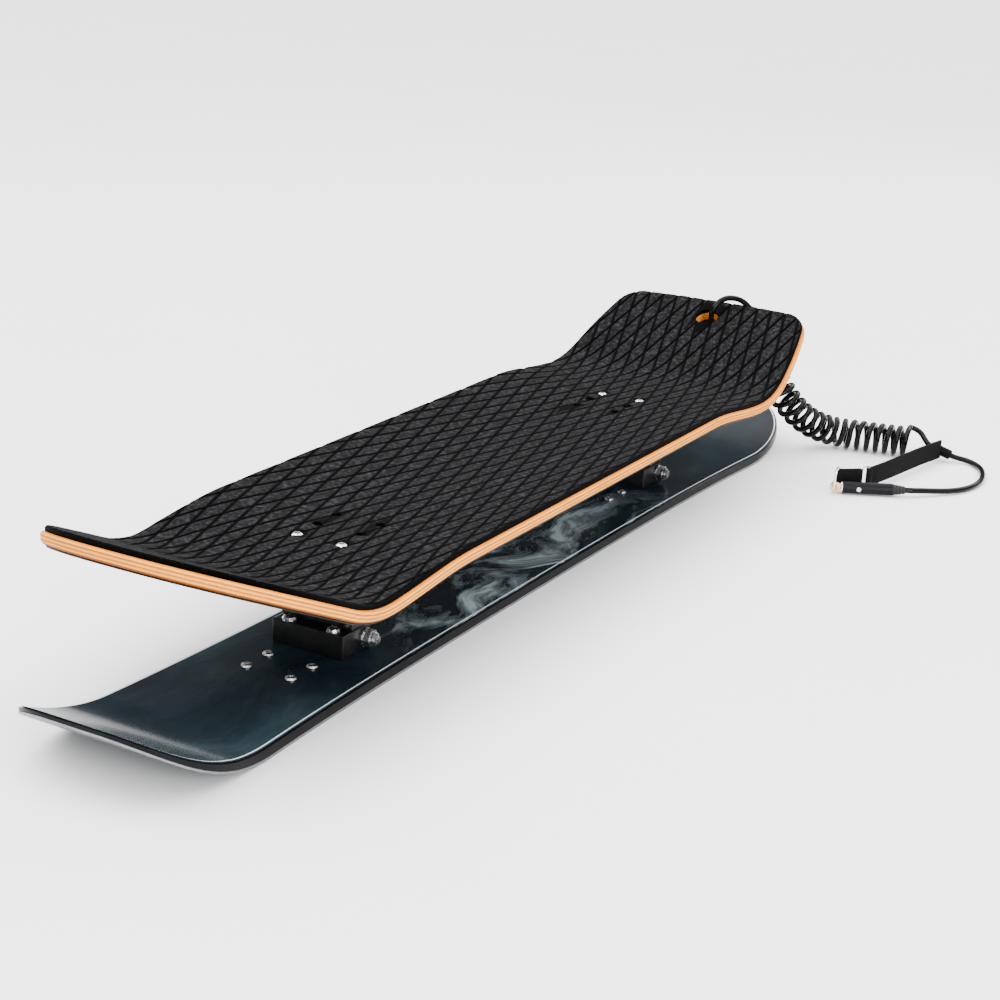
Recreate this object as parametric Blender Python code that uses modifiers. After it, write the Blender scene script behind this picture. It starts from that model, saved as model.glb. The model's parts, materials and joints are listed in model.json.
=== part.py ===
# Snowskate: a wooden deck with a foam grip, bolted on two rigid trucks over a short steel-edged
# ski, with a coiled leash tied in the deck's tail.
# Metres, +Z up, -Y to the nose. The origin is on the ground, within 6 mm of the middle of the ski.

import math

import bpy
import bmesh
from mathutils import Matrix, Vector

# Clearance between pieces that touch
GAP = 0.0003

# Ski
SKI_NOSE_Y = -0.547
SKI_TAIL_Y = 0.558
SKI_WAIST = 0.1366
SKI_TIP_WIDTH = 0.158
SKI_WAIST_Y = -0.035
SKI_THICKNESS = 0.011
SKI_TIP_THICKNESS = 0.0065
NOSE_KICK_START = 0.1165
NOSE_KICK_RADIUS = 0.156
NOSE_ROUND_LENGTH = 0.075
NOSE_ROUND_POWER = 3.0
TAIL_KICK_START = 0.148
TAIL_KICK_RADIUS = 0.427
TAIL_ROUND_LENGTH = 0.126
TAIL_ROUND_POWER = 2.3
EDGE_HEIGHT = 0.0020
EDGE_WIDTH = 0.0022
SIDEWALL_WIDTH = 0.006
SIDEWALL_CHAMFER = 0.0016
SHEET_THICKNESS = 0.0009
SHEET_INSET = 0.002

# Bolt patterns
BOLT_SPACING = 0.0413
INSERT_PITCH = 0.0275
FRONT_TRUCK_BOLT_Y = -0.277
REAR_TRUCK_BOLT_Y = 0.249
INSERT_PLATE_THICKNESS = 0.0035
INSERT_PLATE_MARGIN = 0.0065
SKI_BOLT_DIAMETER = 0.006
SKI_BOLT_HEAD = 0.012
LOW_HEAD_HEIGHT = 0.003
BUTTON_HEAD_HEIGHT = 0.0036
SPARE_HEAD = 0.0095
SPARE_HEAD_HEIGHT = 0.0024

# Trucks
TRUCK_WIDTH = 0.067
TRUCK_LENGTH = 0.039
TRUCK_BOLT_INSET = 0.0055
LEDGE_LENGTH = 0.010
LOWER_HEIGHT = 0.020
CHANNEL_FLOOR = 0.005
CHEEK_THICKNESS = 0.006
SHOULDER_HEIGHT = 0.012
SHOULDER_SETBACK = 0.0022
COLUMN_WIDTH = 0.0235
FLANGE_THICKNESS = 0.006
FLANGE_LENGTH = 0.052
FLANGE_LEAD = 0.005
SLOT_LENGTH = 0.016
SLOT_OFFSET = 0.0095
PAD_THICKNESS = 0.003
CROSS_BOLT_DIAMETER = 0.008
CROSS_BOLT_HEIGHT = 0.0105
CROSS_BOLT_BACK = 0.020
CROSS_HEAD = 0.0135
CROSS_HEAD_HEIGHT = 0.0045
CROSS_NUT_WIDTH = 0.013
CROSS_NUT_HEIGHT = 0.008
CROSS_WASHER = 0.016
CROSS_WASHER_THICKNESS = 0.0015
CROSS_BOLT_TIP = 0.002
BRACKET_BEVEL = 0.0012

# Deck
DECK_UNDERSIDE = 0.085
DECK_NOSE_Y = -0.504
DECK_NOSE_ROUND_Y = -0.3793
DECK_NOSE_POWER = 2.6
DECK_TAIL_Y = 0.4738
DECK_TAIL_BULGE = 0.0028
DECK_TAIL_POWER = 4
DECK_MID_WIDTH = 0.2400
DECK_REAR_WIDTH = 0.2454
DECK_MID_Y = -0.250
DECK_REAR_Y = 0.340
NOSE_TAPER = 0.010
TAIL_TAPER = 0.0185
TAIL_CORNER = 0.024
NOSE_BEND_Y = -0.340
TAIL_BEND_Y = 0.325
BEND_RADIUS = 0.120
NOSE_ANGLE = math.radians(24.9)
TAIL_ANGLE = math.radians(25.6)
CONCAVE_RISE = 0.012
CONCAVE_END_RISE = 0.002
CONCAVE_REACH = 0.118
CONCAVE_FRONT = (-0.370, -0.235)
CONCAVE_REAR = (0.205, 0.325)
CORE_THICKNESS = 0.009
VENEER_THICKNESS = 0.0012
VENEER_INSET = 0.0032
CORE_ROUND = 0.003
FOAM_THICKNESS = 0.0042
FOAM_INSET = 0.003
DECK_ROW_FRONT = -0.268
DECK_ROW_REAR = 0.248
DECK_HOLE_PITCH = 0.027
DECK_SPARE_ROWS = 2
DECK_BOLT_DIAMETER = 0.005
DECK_BOLT_HEAD = 0.011
DECK_BOLT_HEAD_HEIGHT = 0.0046
DECK_NUT_WIDTH = 0.008
DECK_NUT_HEIGHT = 0.005
FOAM_SPARE_HOLE = 0.008
LEASH_HOLE_DIAMETER = 0.024
LEASH_HOLE_FROM_END = 0.0281

# Leash
CORD_DIAMETER = 0.006
COIL_RADIUS = 0.0135
COIL_TURNS = 18.75
COIL_POINTS_A_TURN = 9
COIL_CROWDING = 0.25
COIL_AXIS = (
    (0.0560, 0.4860, 0.1120), (0.0655, 0.4895, 0.0900), (0.0755, 0.4945, 0.0690), (0.0845, 0.5015, 0.0525),
    (0.0945, 0.5110, 0.0380), (0.1065, 0.5225, 0.0265), (0.1210, 0.5330, 0.0193), (0.1385, 0.5405, 0.0168),
    (0.1570, 0.5435, 0.0168), (0.1780, 0.5475, 0.0168), (0.1985, 0.5525, 0.0168),
)
LEAD_ROUTE = (
    (0.0045, 0.4495, 0.1390), (0.0055, 0.4463, 0.1465), (0.0072, 0.4455, 0.1542), (0.0108, 0.4500, 0.1615),
    (0.0164, 0.4580, 0.1655), (0.0238, 0.4680, 0.1645), (0.0292, 0.4772, 0.1595), (0.0340, 0.4830, 0.1530),
    (0.0400, 0.4890, 0.1475), (0.0485, 0.4965, 0.1410), (0.0561, 0.5031, 0.1346), (0.0589, 0.5058, 0.1283),
    (0.0586, 0.5055, 0.1210),
)
LEAD_OFFSET = 0.0045
NOOSE_RISE = (
    (0.1976, 0.5695, 0.0297), (0.2005, 0.5725, 0.0284), (0.2056, 0.5744, 0.0260), (0.2117, 0.5730, 0.0222),
    (0.2145, 0.5707, 0.0197), (0.2184, 0.5676, 0.0168),
)
STRAP_LOOP_START = Vector((0.2240, 0.5668, 0.0140))
STRAP_LOOP_END = Vector((0.2460, 0.5668, 0.0075))
NOOSE_SWEEP = (
    (0.2530, 0.5680, 0.0057), (0.2610, 0.5700, 0.0044), (0.2700, 0.5675, 0.0036), (0.2790, 0.5595, 0.0034),
    (0.2870, 0.5470, 0.0034), (0.2930, 0.5305, 0.0034), (0.2968, 0.5120, 0.0034), (0.2970, 0.4935, 0.0034),
    (0.2935, 0.4765, 0.0034), (0.2870, 0.4620, 0.0036), (0.2785, 0.4500, 0.0041), (0.2690, 0.4395, 0.0050),
    (0.2600, 0.4300, 0.0060),
)
STOPPER_DIAMETER = 0.030
STOPPER_LENGTH = 0.020
CONNECTOR_START = Vector((0.188, 0.387, 0.007))
CONNECTOR_HEADING = math.radians(27.8)
SLEEVE_LENGTH = 0.052
SLEEVE_RADIUS = 0.0062
SLEEVE_CHAMBER = 0.0042
SLEEVE_CHAMBER_DEPTH = 0.013
SLEEVE_SOCKET = 0.0040
SLEEVE_SOCKET_DEPTH = 0.008
COLLAR_THICKNESS = 0.0025
SHANK_RADIUS = 0.0022
SHANK_CLEARANCE = 0.00005
EYE_RADIUS = 0.0040
EYE_WIRE = 0.0016
RIVET_RADIUS = 0.0016
RIVET_BACK = 0.0175
RELIEF_LENGTH = 0.013
RELIEF_RADIUS = 0.0058
RELIEF_RIBS = 4
RING_WIRE = 0.0014
RING_CORNER = 0.0016
BAND_THICKNESS = 0.0046
BAND_TOP = 0.0234
TAB_BOTTOM = 0.0086
STRAP_BOTTOM = 0.0036
TAB_START = Vector((0.1815, 0.3935, 0.0))
TAB_END = Vector((0.2000, 0.4090, 0.0))
STRAP_ROUTE = (
    (0.2055, 0.4165, 0.0), (0.2105, 0.437, 0.0), (0.2165, 0.468, 0.0), (0.222, 0.500, 0.0),
    (0.2275, 0.530, 0.0), (0.2320, 0.549, 0.0), (0.2350, 0.5645, 0.0),
)
LOOP_WALL = 0.002

# Values that follow from the ones above
NOSE_KICK_Y = SKI_NOSE_Y + NOSE_KICK_START
TAIL_KICK_Y = SKI_TAIL_Y - TAIL_KICK_START
BOLT_X = BOLT_SPACING / 2
DECK_THICKNESS = CORE_THICKNESS + GAP + VENEER_THICKNESS
DECK_TOP = DECK_UNDERSIDE + DECK_THICKNESS
PAD_TOP = DECK_UNDERSIDE - GAP
FLANGE_TOP = PAD_TOP - PAD_THICKNESS - GAP
FLANGE_BOTTOM = FLANGE_TOP - FLANGE_THICKNESS
TRUCK_BASE = SKI_THICKNESS + GAP
LEDGE_TOP = TRUCK_BASE + LOWER_HEIGHT
FLOOR_TOP = TRUCK_BASE + CHANNEL_FLOOR
SHOULDER_TOP = LEDGE_TOP + GAP + SHOULDER_HEIGHT
CROSS_Z = SKI_THICKNESS + CROSS_BOLT_HEIGHT
SLEEVE_AXIS = Vector((math.cos(CONNECTOR_HEADING), math.sin(CONNECTOR_HEADING), 0))
LEASH_HOLE_Y = DECK_TAIL_Y + DECK_TAIL_BULGE - LEASH_HOLE_FROM_END
NODES = "snowskate"
CUTTERS = "cutters"


# Scene and materials

def clear_scene():
    for item in list(bpy.data.objects):
        bpy.data.objects.remove(item, do_unlink=True)


def collection(name):
    found = bpy.data.collections.get(name)
    if found is None:
        found = bpy.data.collections.new(name)
        bpy.context.scene.collection.children.link(found)
    return found


def material(name, colour, roughness, metallic=0.0):
    made = bpy.data.materials.get(name)
    if made is None:
        made = bpy.data.materials.new(name)
        made.use_nodes = True
        shader = made.node_tree.nodes["Principled BSDF"]
        shader.inputs["Base Color"].default_value = (*colour, 1.0)
        shader.inputs["Roughness"].default_value = roughness
        shader.inputs["Metallic"].default_value = metallic
    return made


FINISHES = {
    "black_metal": ((0.012, 0.012, 0.014), 0.30, 0.6),
    "steel": ((0.62, 0.62, 0.62), 0.28, 1.0),
    "chrome": ((0.75, 0.75, 0.76), 0.12, 1.0),
    "brass": ((0.66, 0.46, 0.20), 0.28, 1.0),
    "wood": ((0.80, 0.50, 0.28), 0.45, 0.0),
    "black_ply": ((0.015, 0.014, 0.014), 0.45, 0.0),
    "foam": ((0.012, 0.012, 0.013), 0.85, 0.0),
    "rubber": ((0.02, 0.02, 0.02), 0.7, 0.0),
    "sheet": ((0.05, 0.07, 0.09), 0.25, 0.0),
    "sidewall": ((0.012, 0.012, 0.012), 0.35, 0.0),
    "base": ((0.05, 0.05, 0.05), 0.3, 0.0),
    "core": ((0.62, 0.48, 0.30), 0.6, 0.0),
    "cord": ((0.008, 0.008, 0.009), 0.15, 0.0),
    "webbing": ((0.015, 0.015, 0.016), 0.75, 0.0),
}


def finish(item, name, smooth=False):
    item.data.materials.clear()
    item.data.materials.append(material(name, *FINISHES[name]))
    if smooth:
        item.data.shade_smooth()
        item.data.set_sharp_from_angle(angle=math.radians(35))


def add_mesh(mesh, name, where=NODES):
    item = bpy.data.objects.new(name, mesh)
    collection(where).objects.link(item)
    if where == CUTTERS:
        item.hide_render = True
        item.display_type = "WIRE"
    return item


def from_bmesh(shape, name, where=NODES, closed=True):
    if closed:
        bmesh.ops.recalc_face_normals(shape, faces=shape.faces)
    mesh = bpy.data.meshes.new(name)
    shape.to_mesh(mesh)
    shape.free()
    return add_mesh(mesh, name, where)


def baked(item, name):
    """The mesh of an object with its modifiers applied; the object is removed."""
    view = bpy.context.evaluated_depsgraph_get()
    mesh = bpy.data.meshes.new_from_object(item.evaluated_get(view))
    mesh.name = name
    bpy.data.objects.remove(item, do_unlink=True)
    return mesh


# Simple solids

def put_box(shape, low, high):
    low, high = Vector(low), Vector(high)
    size = high - low
    place = Matrix.Translation((low + high) / 2) @ Matrix.Diagonal((*size, 1.0))
    bmesh.ops.create_cube(shape, size=1.0, matrix=place)


def turn_to(direction):
    return Vector((0, 0, 1)).rotation_difference(Vector(direction)).to_matrix().to_4x4()


def put_rod(shape, start, end, radius, sides=12):
    start, end = Vector(start), Vector(end)
    place = Matrix.Translation((start + end) / 2) @ turn_to(end - start)
    bmesh.ops.create_cone(shape, cap_ends=True, segments=sides, radius1=radius, radius2=radius,
                          depth=(end - start).length, matrix=place)


def box(name, low, high, where=NODES, bevel=0.0):
    shape = bmesh.new()
    put_box(shape, low, high)
    item = from_bmesh(shape, name, where)
    if bevel:
        add_bevel(item, bevel, 2)
    return item


def add_bevel(item, width, segments, angle=60):
    edge = item.modifiers.new("edges", "BEVEL")
    edge.width = width
    edge.segments = segments
    edge.limit_method = "ANGLE"
    edge.angle_limit = math.radians(angle)


def rods(name, spans, sides=12):
    """One cutter of several rods that don't touch: (start, end, radius) each."""
    shape = bmesh.new()
    for start, end, radius in spans:
        put_rod(shape, start, end, radius, sides)
    return from_bmesh(shape, name, CUTTERS)


def boolean(item, other, operation):
    change = item.modifiers.new(other.name, "BOOLEAN")
    change.operation = operation
    change.solver = "EXACT"
    change.object = other


def cut(item, *others):
    for other in others:
        boolean(item, other, "DIFFERENCE")


def turned(name, profile, steps=12, socket=None):
    """A mesh turned about Z from (radius, height) points, top to bottom, with a hex socket if asked."""
    shape = bmesh.new()
    points = [shape.verts.new((radius, 0, height)) for radius, height in profile]
    for above, below in zip(points, points[1:]):
        shape.edges.new((above, below))
    mesh = bpy.data.meshes.new(name)
    shape.to_mesh(mesh)
    shape.free()
    item = add_mesh(mesh, name + "_profile", CUTTERS)
    spin = item.modifiers.new("turn", "SCREW")
    spin.steps = steps
    spin.render_steps = steps
    spin.use_merge_vertices = True
    spin.merge_threshold = 0.00001
    if socket:
        width, top, depth = socket
        hexagon = bmesh.new()
        put_rod(hexagon, (0, 0, top - depth), (0, 0, top + depth), width / math.sqrt(3), 6)
        cutter = from_bmesh(hexagon, name + "_socket", CUTTERS)
        cut(item, cutter)
    return baked(item, name)


def place(mesh, name, where, direction=(0, 0, 1)):
    item = add_mesh(mesh, name)
    item.matrix_world = Matrix.Translation(where) @ turn_to(direction)
    return item


def smooth_route(points, spacing):
    """Points a spacing apart on a Catmull-Rom curve through the route's own points."""
    route = [Vector(point) for point in points]
    ends = [2 * route[0] - route[1], *route, 2 * route[-1] - route[-2]]
    fine = []
    for index in range(len(route) - 1):
        before, start, end, after = ends[index:index + 4]
        for step in range(12):
            t = step / 12
            fine.append(0.5 * (2 * start + (end - before) * t
                               + (2 * before - 5 * start + 4 * end - after) * t * t
                               + (3 * start - before - 3 * end + after) * t ** 3))
    fine.append(route[-1])
    return even_points(fine, spacing)


def even_points(fine, spacing):
    lengths = [0.0]
    for start, end in zip(fine, fine[1:]):
        lengths.append(lengths[-1] + (end - start).length)
    count = max(2, round(lengths[-1] / spacing))
    out, piece = [], 0
    for index in range(count + 1):
        wanted = lengths[-1] * index / count
        while piece < len(fine) - 2 and lengths[piece + 1] < wanted:
            piece += 1
        span = lengths[piece + 1] - lengths[piece]
        share = (wanted - lengths[piece]) / span
        out.append(fine[piece].lerp(fine[piece + 1], share))
    return out


def route_length(points):
    return sum((end - start).length for start, end in zip(points, points[1:]))


def tube(name, points, diameter, resolution=2, closed=False):
    curve = bpy.data.curves.new(name, "CURVE")
    curve.dimensions = "3D"
    curve.bevel_depth = diameter / 2
    curve.bevel_resolution = resolution
    curve.use_fill_caps = not closed
    spline = curve.splines.new("POLY")
    spline.points.add(len(points) - 1)
    for target, point in zip(spline.points, points):
        target.co = (*point, 1.0)
    spline.use_cyclic_u = closed
    item = bpy.data.objects.new(name, curve)
    collection(NODES).objects.link(item)
    return item


# Ski

def spread(low, high, count):
    """Evenly spaced values from low up to, but without, high."""
    return [low + (high - low) * index / count for index in range(count)]


def smoothstep(low, high, value):
    t = min(1.0, max(0.0, (value - low) / (high - low)))
    return t * t * (3 - 2 * t)


def ski_top(y):
    nose = max(0.0, NOSE_KICK_Y - y)
    tail = max(0.0, y - TAIL_KICK_Y)
    return SKI_THICKNESS + nose ** 2 / (2 * NOSE_KICK_RADIUS) + tail ** 2 / (2 * TAIL_KICK_RADIUS)


def ski_bottom(y):
    nose = max(0.0, (NOSE_KICK_Y - y) / NOSE_KICK_START)
    tail = max(0.0, (y - TAIL_KICK_Y) / TAIL_KICK_START)
    thin = (SKI_THICKNESS - SKI_TIP_THICKNESS) * min(1.0, max(nose, tail))
    return ski_top(y) - SKI_THICKNESS + thin


def ski_half_width(y):
    """Sidecut: narrow at the waist, widest where the rounded ends begin."""
    reach = SKI_TAIL_Y - TAIL_ROUND_LENGTH - SKI_WAIST_Y
    t = min(1.0, abs(y - SKI_WAIST_Y) / reach)
    share = 0.215 * t ** 2 + 0.785 * t ** 4
    return (SKI_WAIST + (SKI_TIP_WIDTH - SKI_WAIST) * share) / 2


def ski_end(turn, half_width, length, power):
    """A point of a rounded end, from its blunt tip to its side: (x, distance past the side's end)."""
    first = 0.2
    angle = first + (math.pi / 2 - first) * turn
    return (half_width * math.sin(angle) ** (2 / power),
            length * (max(0.0, math.cos(angle)) / math.cos(first)) ** (2 / power))


def ski_side():
    """Right-hand outline from the nose to the tail, as (x, y) points."""
    points = []
    nose_y = SKI_NOSE_Y + NOSE_ROUND_LENGTH
    tail_y = SKI_TAIL_Y - TAIL_ROUND_LENGTH
    steps = 11
    for index in range(steps):
        x, past = ski_end(index / steps, ski_half_width(nose_y), NOSE_ROUND_LENGTH, NOSE_ROUND_POWER)
        points.append((x, nose_y - past))
    ys = spread(nose_y, NOSE_KICK_Y, 5) + spread(NOSE_KICK_Y, TAIL_KICK_Y, 9)
    ys += spread(TAIL_KICK_Y, tail_y, 2) + [tail_y]
    points += [(ski_half_width(y), y) for y in ys]
    for index in range(steps):
        x, past = ski_end(1 - (index + 1) / steps, ski_half_width(tail_y), TAIL_ROUND_LENGTH,
                          TAIL_ROUND_POWER)
        points.append((x, tail_y + past))
    return points


def ski_outline(inset):
    """Closed outline drawn in by an inset, right side first and then the left side back."""
    right = ski_side()
    whole = right + [(-x, y) for x, y in reversed(right)]
    moved = []
    for index, point in enumerate(whole):
        here = Vector(point)
        back = (here - Vector(whole[index - 1])).normalized()
        ahead = (Vector(whole[(index + 1) % len(whole)]) - here).normalized()
        inward = Vector((-(back.y + ahead.y), back.x + ahead.x)).normalized()
        moved.append(here + inward * inset / max(0.5, inward.dot(Vector((-back.y, back.x)))))
    return moved


def ski_layer(name, inset, top, bottom):
    """A sheet between two heights that follow the ski's length."""
    outline = ski_outline(inset)
    rows = len(outline) // 2
    shape = bmesh.new()
    bmesh.ops.create_grid(shape, x_segments=1, y_segments=rows - 1, size=0.5)
    for vert in shape.verts:
        row = round((vert.co.y + 0.5) * (rows - 1))
        point = outline[row]
        side = 1 if vert.co.x > 0 else -1
        vert.co = (side * point.x, point.y, top(point.y))
    made = bmesh.ops.extrude_face_region(shape, geom=list(shape.faces))
    for vert in made["geom"]:
        if isinstance(vert, bmesh.types.BMVert):
            vert.co.z = bottom(vert.co.y)
    return from_bmesh(shape, name)


def ski_band(name, section):
    """A ring round the ski: section is a list of (inset, height function)."""
    shape = bmesh.new()
    loops = []
    for inset, height in section:
        loops.append([shape.verts.new((point.x, point.y, height(point.y)))
                      for point in ski_outline(inset)])
    for near, far in zip(loops, loops[1:] + loops[:1]):
        count = len(near)
        for index in range(count):
            following = (index + 1) % count
            shape.faces.new((near[index], near[following], far[following], far[index]))
    return from_bmesh(shape, name)


def insert_rows(bolt_y):
    """The four insert rows of one end: two spare rows in front of the truck's own two."""
    return [bolt_y + INSERT_PITCH * step for step in (-2, -1, 0, 1)]


def insert_points(rows):
    return [(side * BOLT_X, y) for y in rows for side in (-1, 1)]


def make_ski():
    layer_top = lambda y: ski_top(y) - SHEET_THICKNESS - GAP
    edge_top = lambda y: ski_bottom(y) + EDGE_HEIGHT
    wall_bottom = lambda y: edge_top(y) + GAP
    base = ski_layer("ski_base", EDGE_WIDTH + GAP, edge_top, ski_bottom)
    finish(base, "base")
    edge = ski_band("ski_steel_edge", [(0, ski_bottom), (0, edge_top), (EDGE_WIDTH, edge_top),
                                       (EDGE_WIDTH, ski_bottom)])
    finish(edge, "steel")
    wall = ski_band("ski_sidewall", [
        (GAP, wall_bottom), (GAP, lambda y: layer_top(y) - SIDEWALL_CHAMFER + SHEET_THICKNESS),
        (SHEET_INSET - GAP, layer_top), (SIDEWALL_WIDTH, layer_top), (SIDEWALL_WIDTH, wall_bottom)])
    finish(wall, "sidewall")
    core = ski_layer("ski_core", SIDEWALL_WIDTH + GAP, layer_top, wall_bottom)
    finish(core, "core")
    sheet = ski_layer("ski_topsheet", SHEET_INSET, ski_top, lambda y: ski_top(y) - SHEET_THICKNESS)
    finish(sheet, "sheet")
    plate_top = SKI_THICKNESS - SHEET_THICKNESS - GAP
    plate_bottom = plate_top - INSERT_PLATE_THICKNESS
    half_x = BOLT_X + INSERT_PLATE_MARGIN
    hole_radius = SKI_BOLT_DIAMETER / 2 + GAP
    for end, bolt_y in (("front", FRONT_TRUCK_BOLT_Y), ("rear", REAR_TRUCK_BOLT_Y)):
        rows = insert_rows(bolt_y)
        low_y = rows[0] - INSERT_PLATE_MARGIN
        high_y = rows[-1] + INSERT_PLATE_MARGIN
        pocket = box(end + "_insert_pocket", (-half_x - GAP, low_y - GAP, plate_bottom - GAP),
                     (half_x + GAP, high_y + GAP, SKI_THICKNESS), CUTTERS)
        cut(core, pocket)
        plate = box(end + "_insert_plate", (-half_x, low_y, plate_bottom), (half_x, high_y, plate_top))
        spans = [((x, y, 0), (x, y, 2 * SKI_THICKNESS), hole_radius) for x, y in insert_points(rows)]
        holes = rods(end + "_insert_holes", spans)
        cut(plate, holes)
        cut(sheet, holes)
        finish(plate, "steel")


# Deck

def bend(distance, angle):
    """Height gained a distance past the start of a kick: an arc, then a straight slope."""
    reach = BEND_RADIUS * math.sin(angle)
    if distance <= 0:
        return 0.0
    if distance < reach:
        return BEND_RADIUS - math.sqrt(BEND_RADIUS ** 2 - distance ** 2)
    return BEND_RADIUS * (1 - math.cos(angle)) + (distance - reach) * math.tan(angle)


def concave(y):
    front = 1 - smoothstep(CONCAVE_FRONT[0], CONCAVE_FRONT[1], y)
    rear = smoothstep(CONCAVE_REAR[0], CONCAVE_REAR[1], y)
    return CONCAVE_RISE - (CONCAVE_RISE - CONCAVE_END_RISE) * max(front, rear)


def deck_top(x, y):
    """Height of the wood's upper face."""
    kick = bend(NOSE_BEND_Y - y, NOSE_ANGLE) + bend(y - TAIL_BEND_Y, TAIL_ANGLE)
    return DECK_TOP + kick + concave(y) * (x / CONCAVE_REACH) ** 2


def deck_lean(x, y):
    """How much longer a vertical step is than the same step square to the deck."""
    small = 0.0005
    rise_y = (deck_top(x, y + small) - deck_top(x, y - small)) / (2 * small)
    rise_x = (deck_top(x + small, y) - deck_top(x - small, y)) / (2 * small)
    return math.sqrt(1 + rise_x ** 2 + rise_y ** 2)


def deck_half_width(y):
    share = (y - DECK_MID_Y) / (DECK_REAR_Y - DECK_MID_Y)
    width = DECK_MID_WIDTH + (DECK_REAR_WIDTH - DECK_MID_WIDTH) * min(1.0, max(0.0, share))
    nose = max(0.0, (DECK_MID_Y - y) / (DECK_MID_Y - DECK_NOSE_Y))
    tail = max(0.0, (y - DECK_REAR_Y) / (DECK_TAIL_Y - DECK_REAR_Y))
    return width / 2 - NOSE_TAPER * nose ** 2 - TAIL_TAPER * tail ** 2


def nose_half_width(y, inset):
    """Half width where the nose rounds off: a superellipse from its side to its tip."""
    length = DECK_NOSE_ROUND_Y - DECK_NOSE_Y - inset
    share = min(1.0, max(0.0, (DECK_NOSE_ROUND_Y - y) / length))
    side = deck_half_width(max(y, DECK_NOSE_ROUND_Y)) - inset
    return side * (1 - share ** DECK_NOSE_POWER) ** (1 / DECK_NOSE_POWER)


def deck_rows(inset):
    """Rows across the deck from nose to tail: (y, half width, how far the middle bulges out)."""
    tail_y, tail_r = DECK_TAIL_Y - inset, TAIL_CORNER - inset
    nose_straight = NOSE_BEND_Y - BEND_RADIUS * math.sin(NOSE_ANGLE)
    tail_straight = TAIL_BEND_Y + BEND_RADIUS * math.sin(TAIL_ANGLE)
    rows = []
    length = DECK_NOSE_ROUND_Y - DECK_NOSE_Y - inset
    first = 0.1
    last = math.acos(((DECK_NOSE_ROUND_Y - nose_straight) / length) ** (DECK_NOSE_POWER / 2))
    for angle in spread(first, last, 8):
        y = DECK_NOSE_ROUND_Y - length * math.cos(angle) ** (2 / DECK_NOSE_POWER)
        rows.append((y, nose_half_width(y, inset), 0.0))
    ys = spread(nose_straight, NOSE_BEND_Y, 5)
    ys += spread(NOSE_BEND_Y, CONCAVE_FRONT[1], 4) + spread(CONCAVE_FRONT[1], CONCAVE_REAR[0], 3)
    ys += spread(CONCAVE_REAR[0], TAIL_BEND_Y, 4)
    ys += spread(TAIL_BEND_Y, tail_straight, 5)
    ys += spread(tail_straight, tail_y - tail_r, 3)
    for y in ys:
        rows.append((y, nose_half_width(y, inset), DECK_TAIL_BULGE * smoothstep(tail_straight, tail_y, y)))
    corner_steps = 5
    for index in range(corner_steps + 1):
        turn = math.pi / 2 * index / corner_steps
        y = tail_y - tail_r * (1 - math.sin(turn))
        rows.append((y, deck_half_width(y) - inset - tail_r * (1 - math.cos(turn)),
                     DECK_TAIL_BULGE * smoothstep(tail_straight, tail_y, y)))
    return rows


def deck_sheet(name, inset, lift, thickness, columns=6):
    """A plate that follows the deck's shape, lifted square to it; thickness below zero grows down."""
    rows = deck_rows(inset)
    last = len(rows) - 1
    shape = bmesh.new()
    bmesh.ops.create_grid(shape, x_segments=columns, y_segments=last, size=0.5)
    for vert in shape.verts:
        y, half, bulge = rows[round((vert.co.y + 0.5) * last)]
        across = 2 * vert.co.x
        x = across * half
        y += bulge * (1 - abs(across) ** DECK_TAIL_POWER)
        vert.co = (x, y, deck_top(x, y) + lift * deck_lean(x, y))
    item = from_bmesh(shape, name, closed=False)
    skin = item.modifiers.new("thickness", "SOLIDIFY")
    skin.thickness = abs(thickness)
    skin.offset = 1.0 if thickness > 0 else -1.0
    skin.use_even_offset = True
    return item


def deck_bolt_rows():
    return [DECK_ROW_FRONT, DECK_ROW_REAR]


def spare_hole_rows():
    steps = range(1, DECK_SPARE_ROWS + 1)
    front = [DECK_ROW_FRONT + DECK_HOLE_PITCH * step for step in steps]
    return front + [DECK_ROW_REAR - DECK_HOLE_PITCH * step for step in steps]


def tail_normal():
    return Vector((0, -math.sin(TAIL_ANGLE), math.cos(TAIL_ANGLE)))


def make_deck():
    core = deck_sheet("deck_core", 0, 0, -CORE_THICKNESS)
    add_bevel(core, CORE_ROUND, 3, 50)
    finish(core, "wood", smooth=True)
    veneer = deck_sheet("deck_bottom_veneer", VENEER_INSET, -CORE_THICKNESS - GAP, -VENEER_THICKNESS)
    finish(veneer, "black_ply")
    foam = deck_sheet("foam_grip", FOAM_INSET, GAP, FOAM_THICKNESS)
    finish(foam, "foam")
    low, high = DECK_UNDERSIDE - 0.01, DECK_TOP + 0.03
    wood_radius = DECK_BOLT_DIAMETER / 2 + GAP
    spans, foam_spans = [], []
    for rows, foam_hole in ((deck_bolt_rows(), DECK_BOLT_HEAD + 2 * GAP),
                            (spare_hole_rows(), FOAM_SPARE_HOLE)):
        for x, y in insert_points(rows):
            spans.append(((x, y, low), (x, y, high), wood_radius))
            foam_spans.append(((x, y, DECK_TOP), (x, y, high), foam_hole / 2))
    middle = Vector((0, LEASH_HOLE_Y, deck_top(0, LEASH_HOLE_Y)))
    reach = tail_normal() * 0.04
    leash_hole = rods("leash_hole_cutter", [(middle - reach, middle + reach, LEASH_HOLE_DIAMETER / 2)], 24)
    wood_holes = rods("deck_bolt_holes", spans, 10)
    seats = rods("head_seats", [((x, y, DECK_TOP), (x, y, high), DECK_BOLT_HEAD / 2 + GAP)
                                for x, y in insert_points(deck_bolt_rows())], 16)
    cut(core, wood_holes, seats, leash_hole)
    cut(veneer, wood_holes, leash_hole)
    cut(foam, rods("foam_holes", foam_spans, 12), leash_hole)


# Trucks

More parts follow.
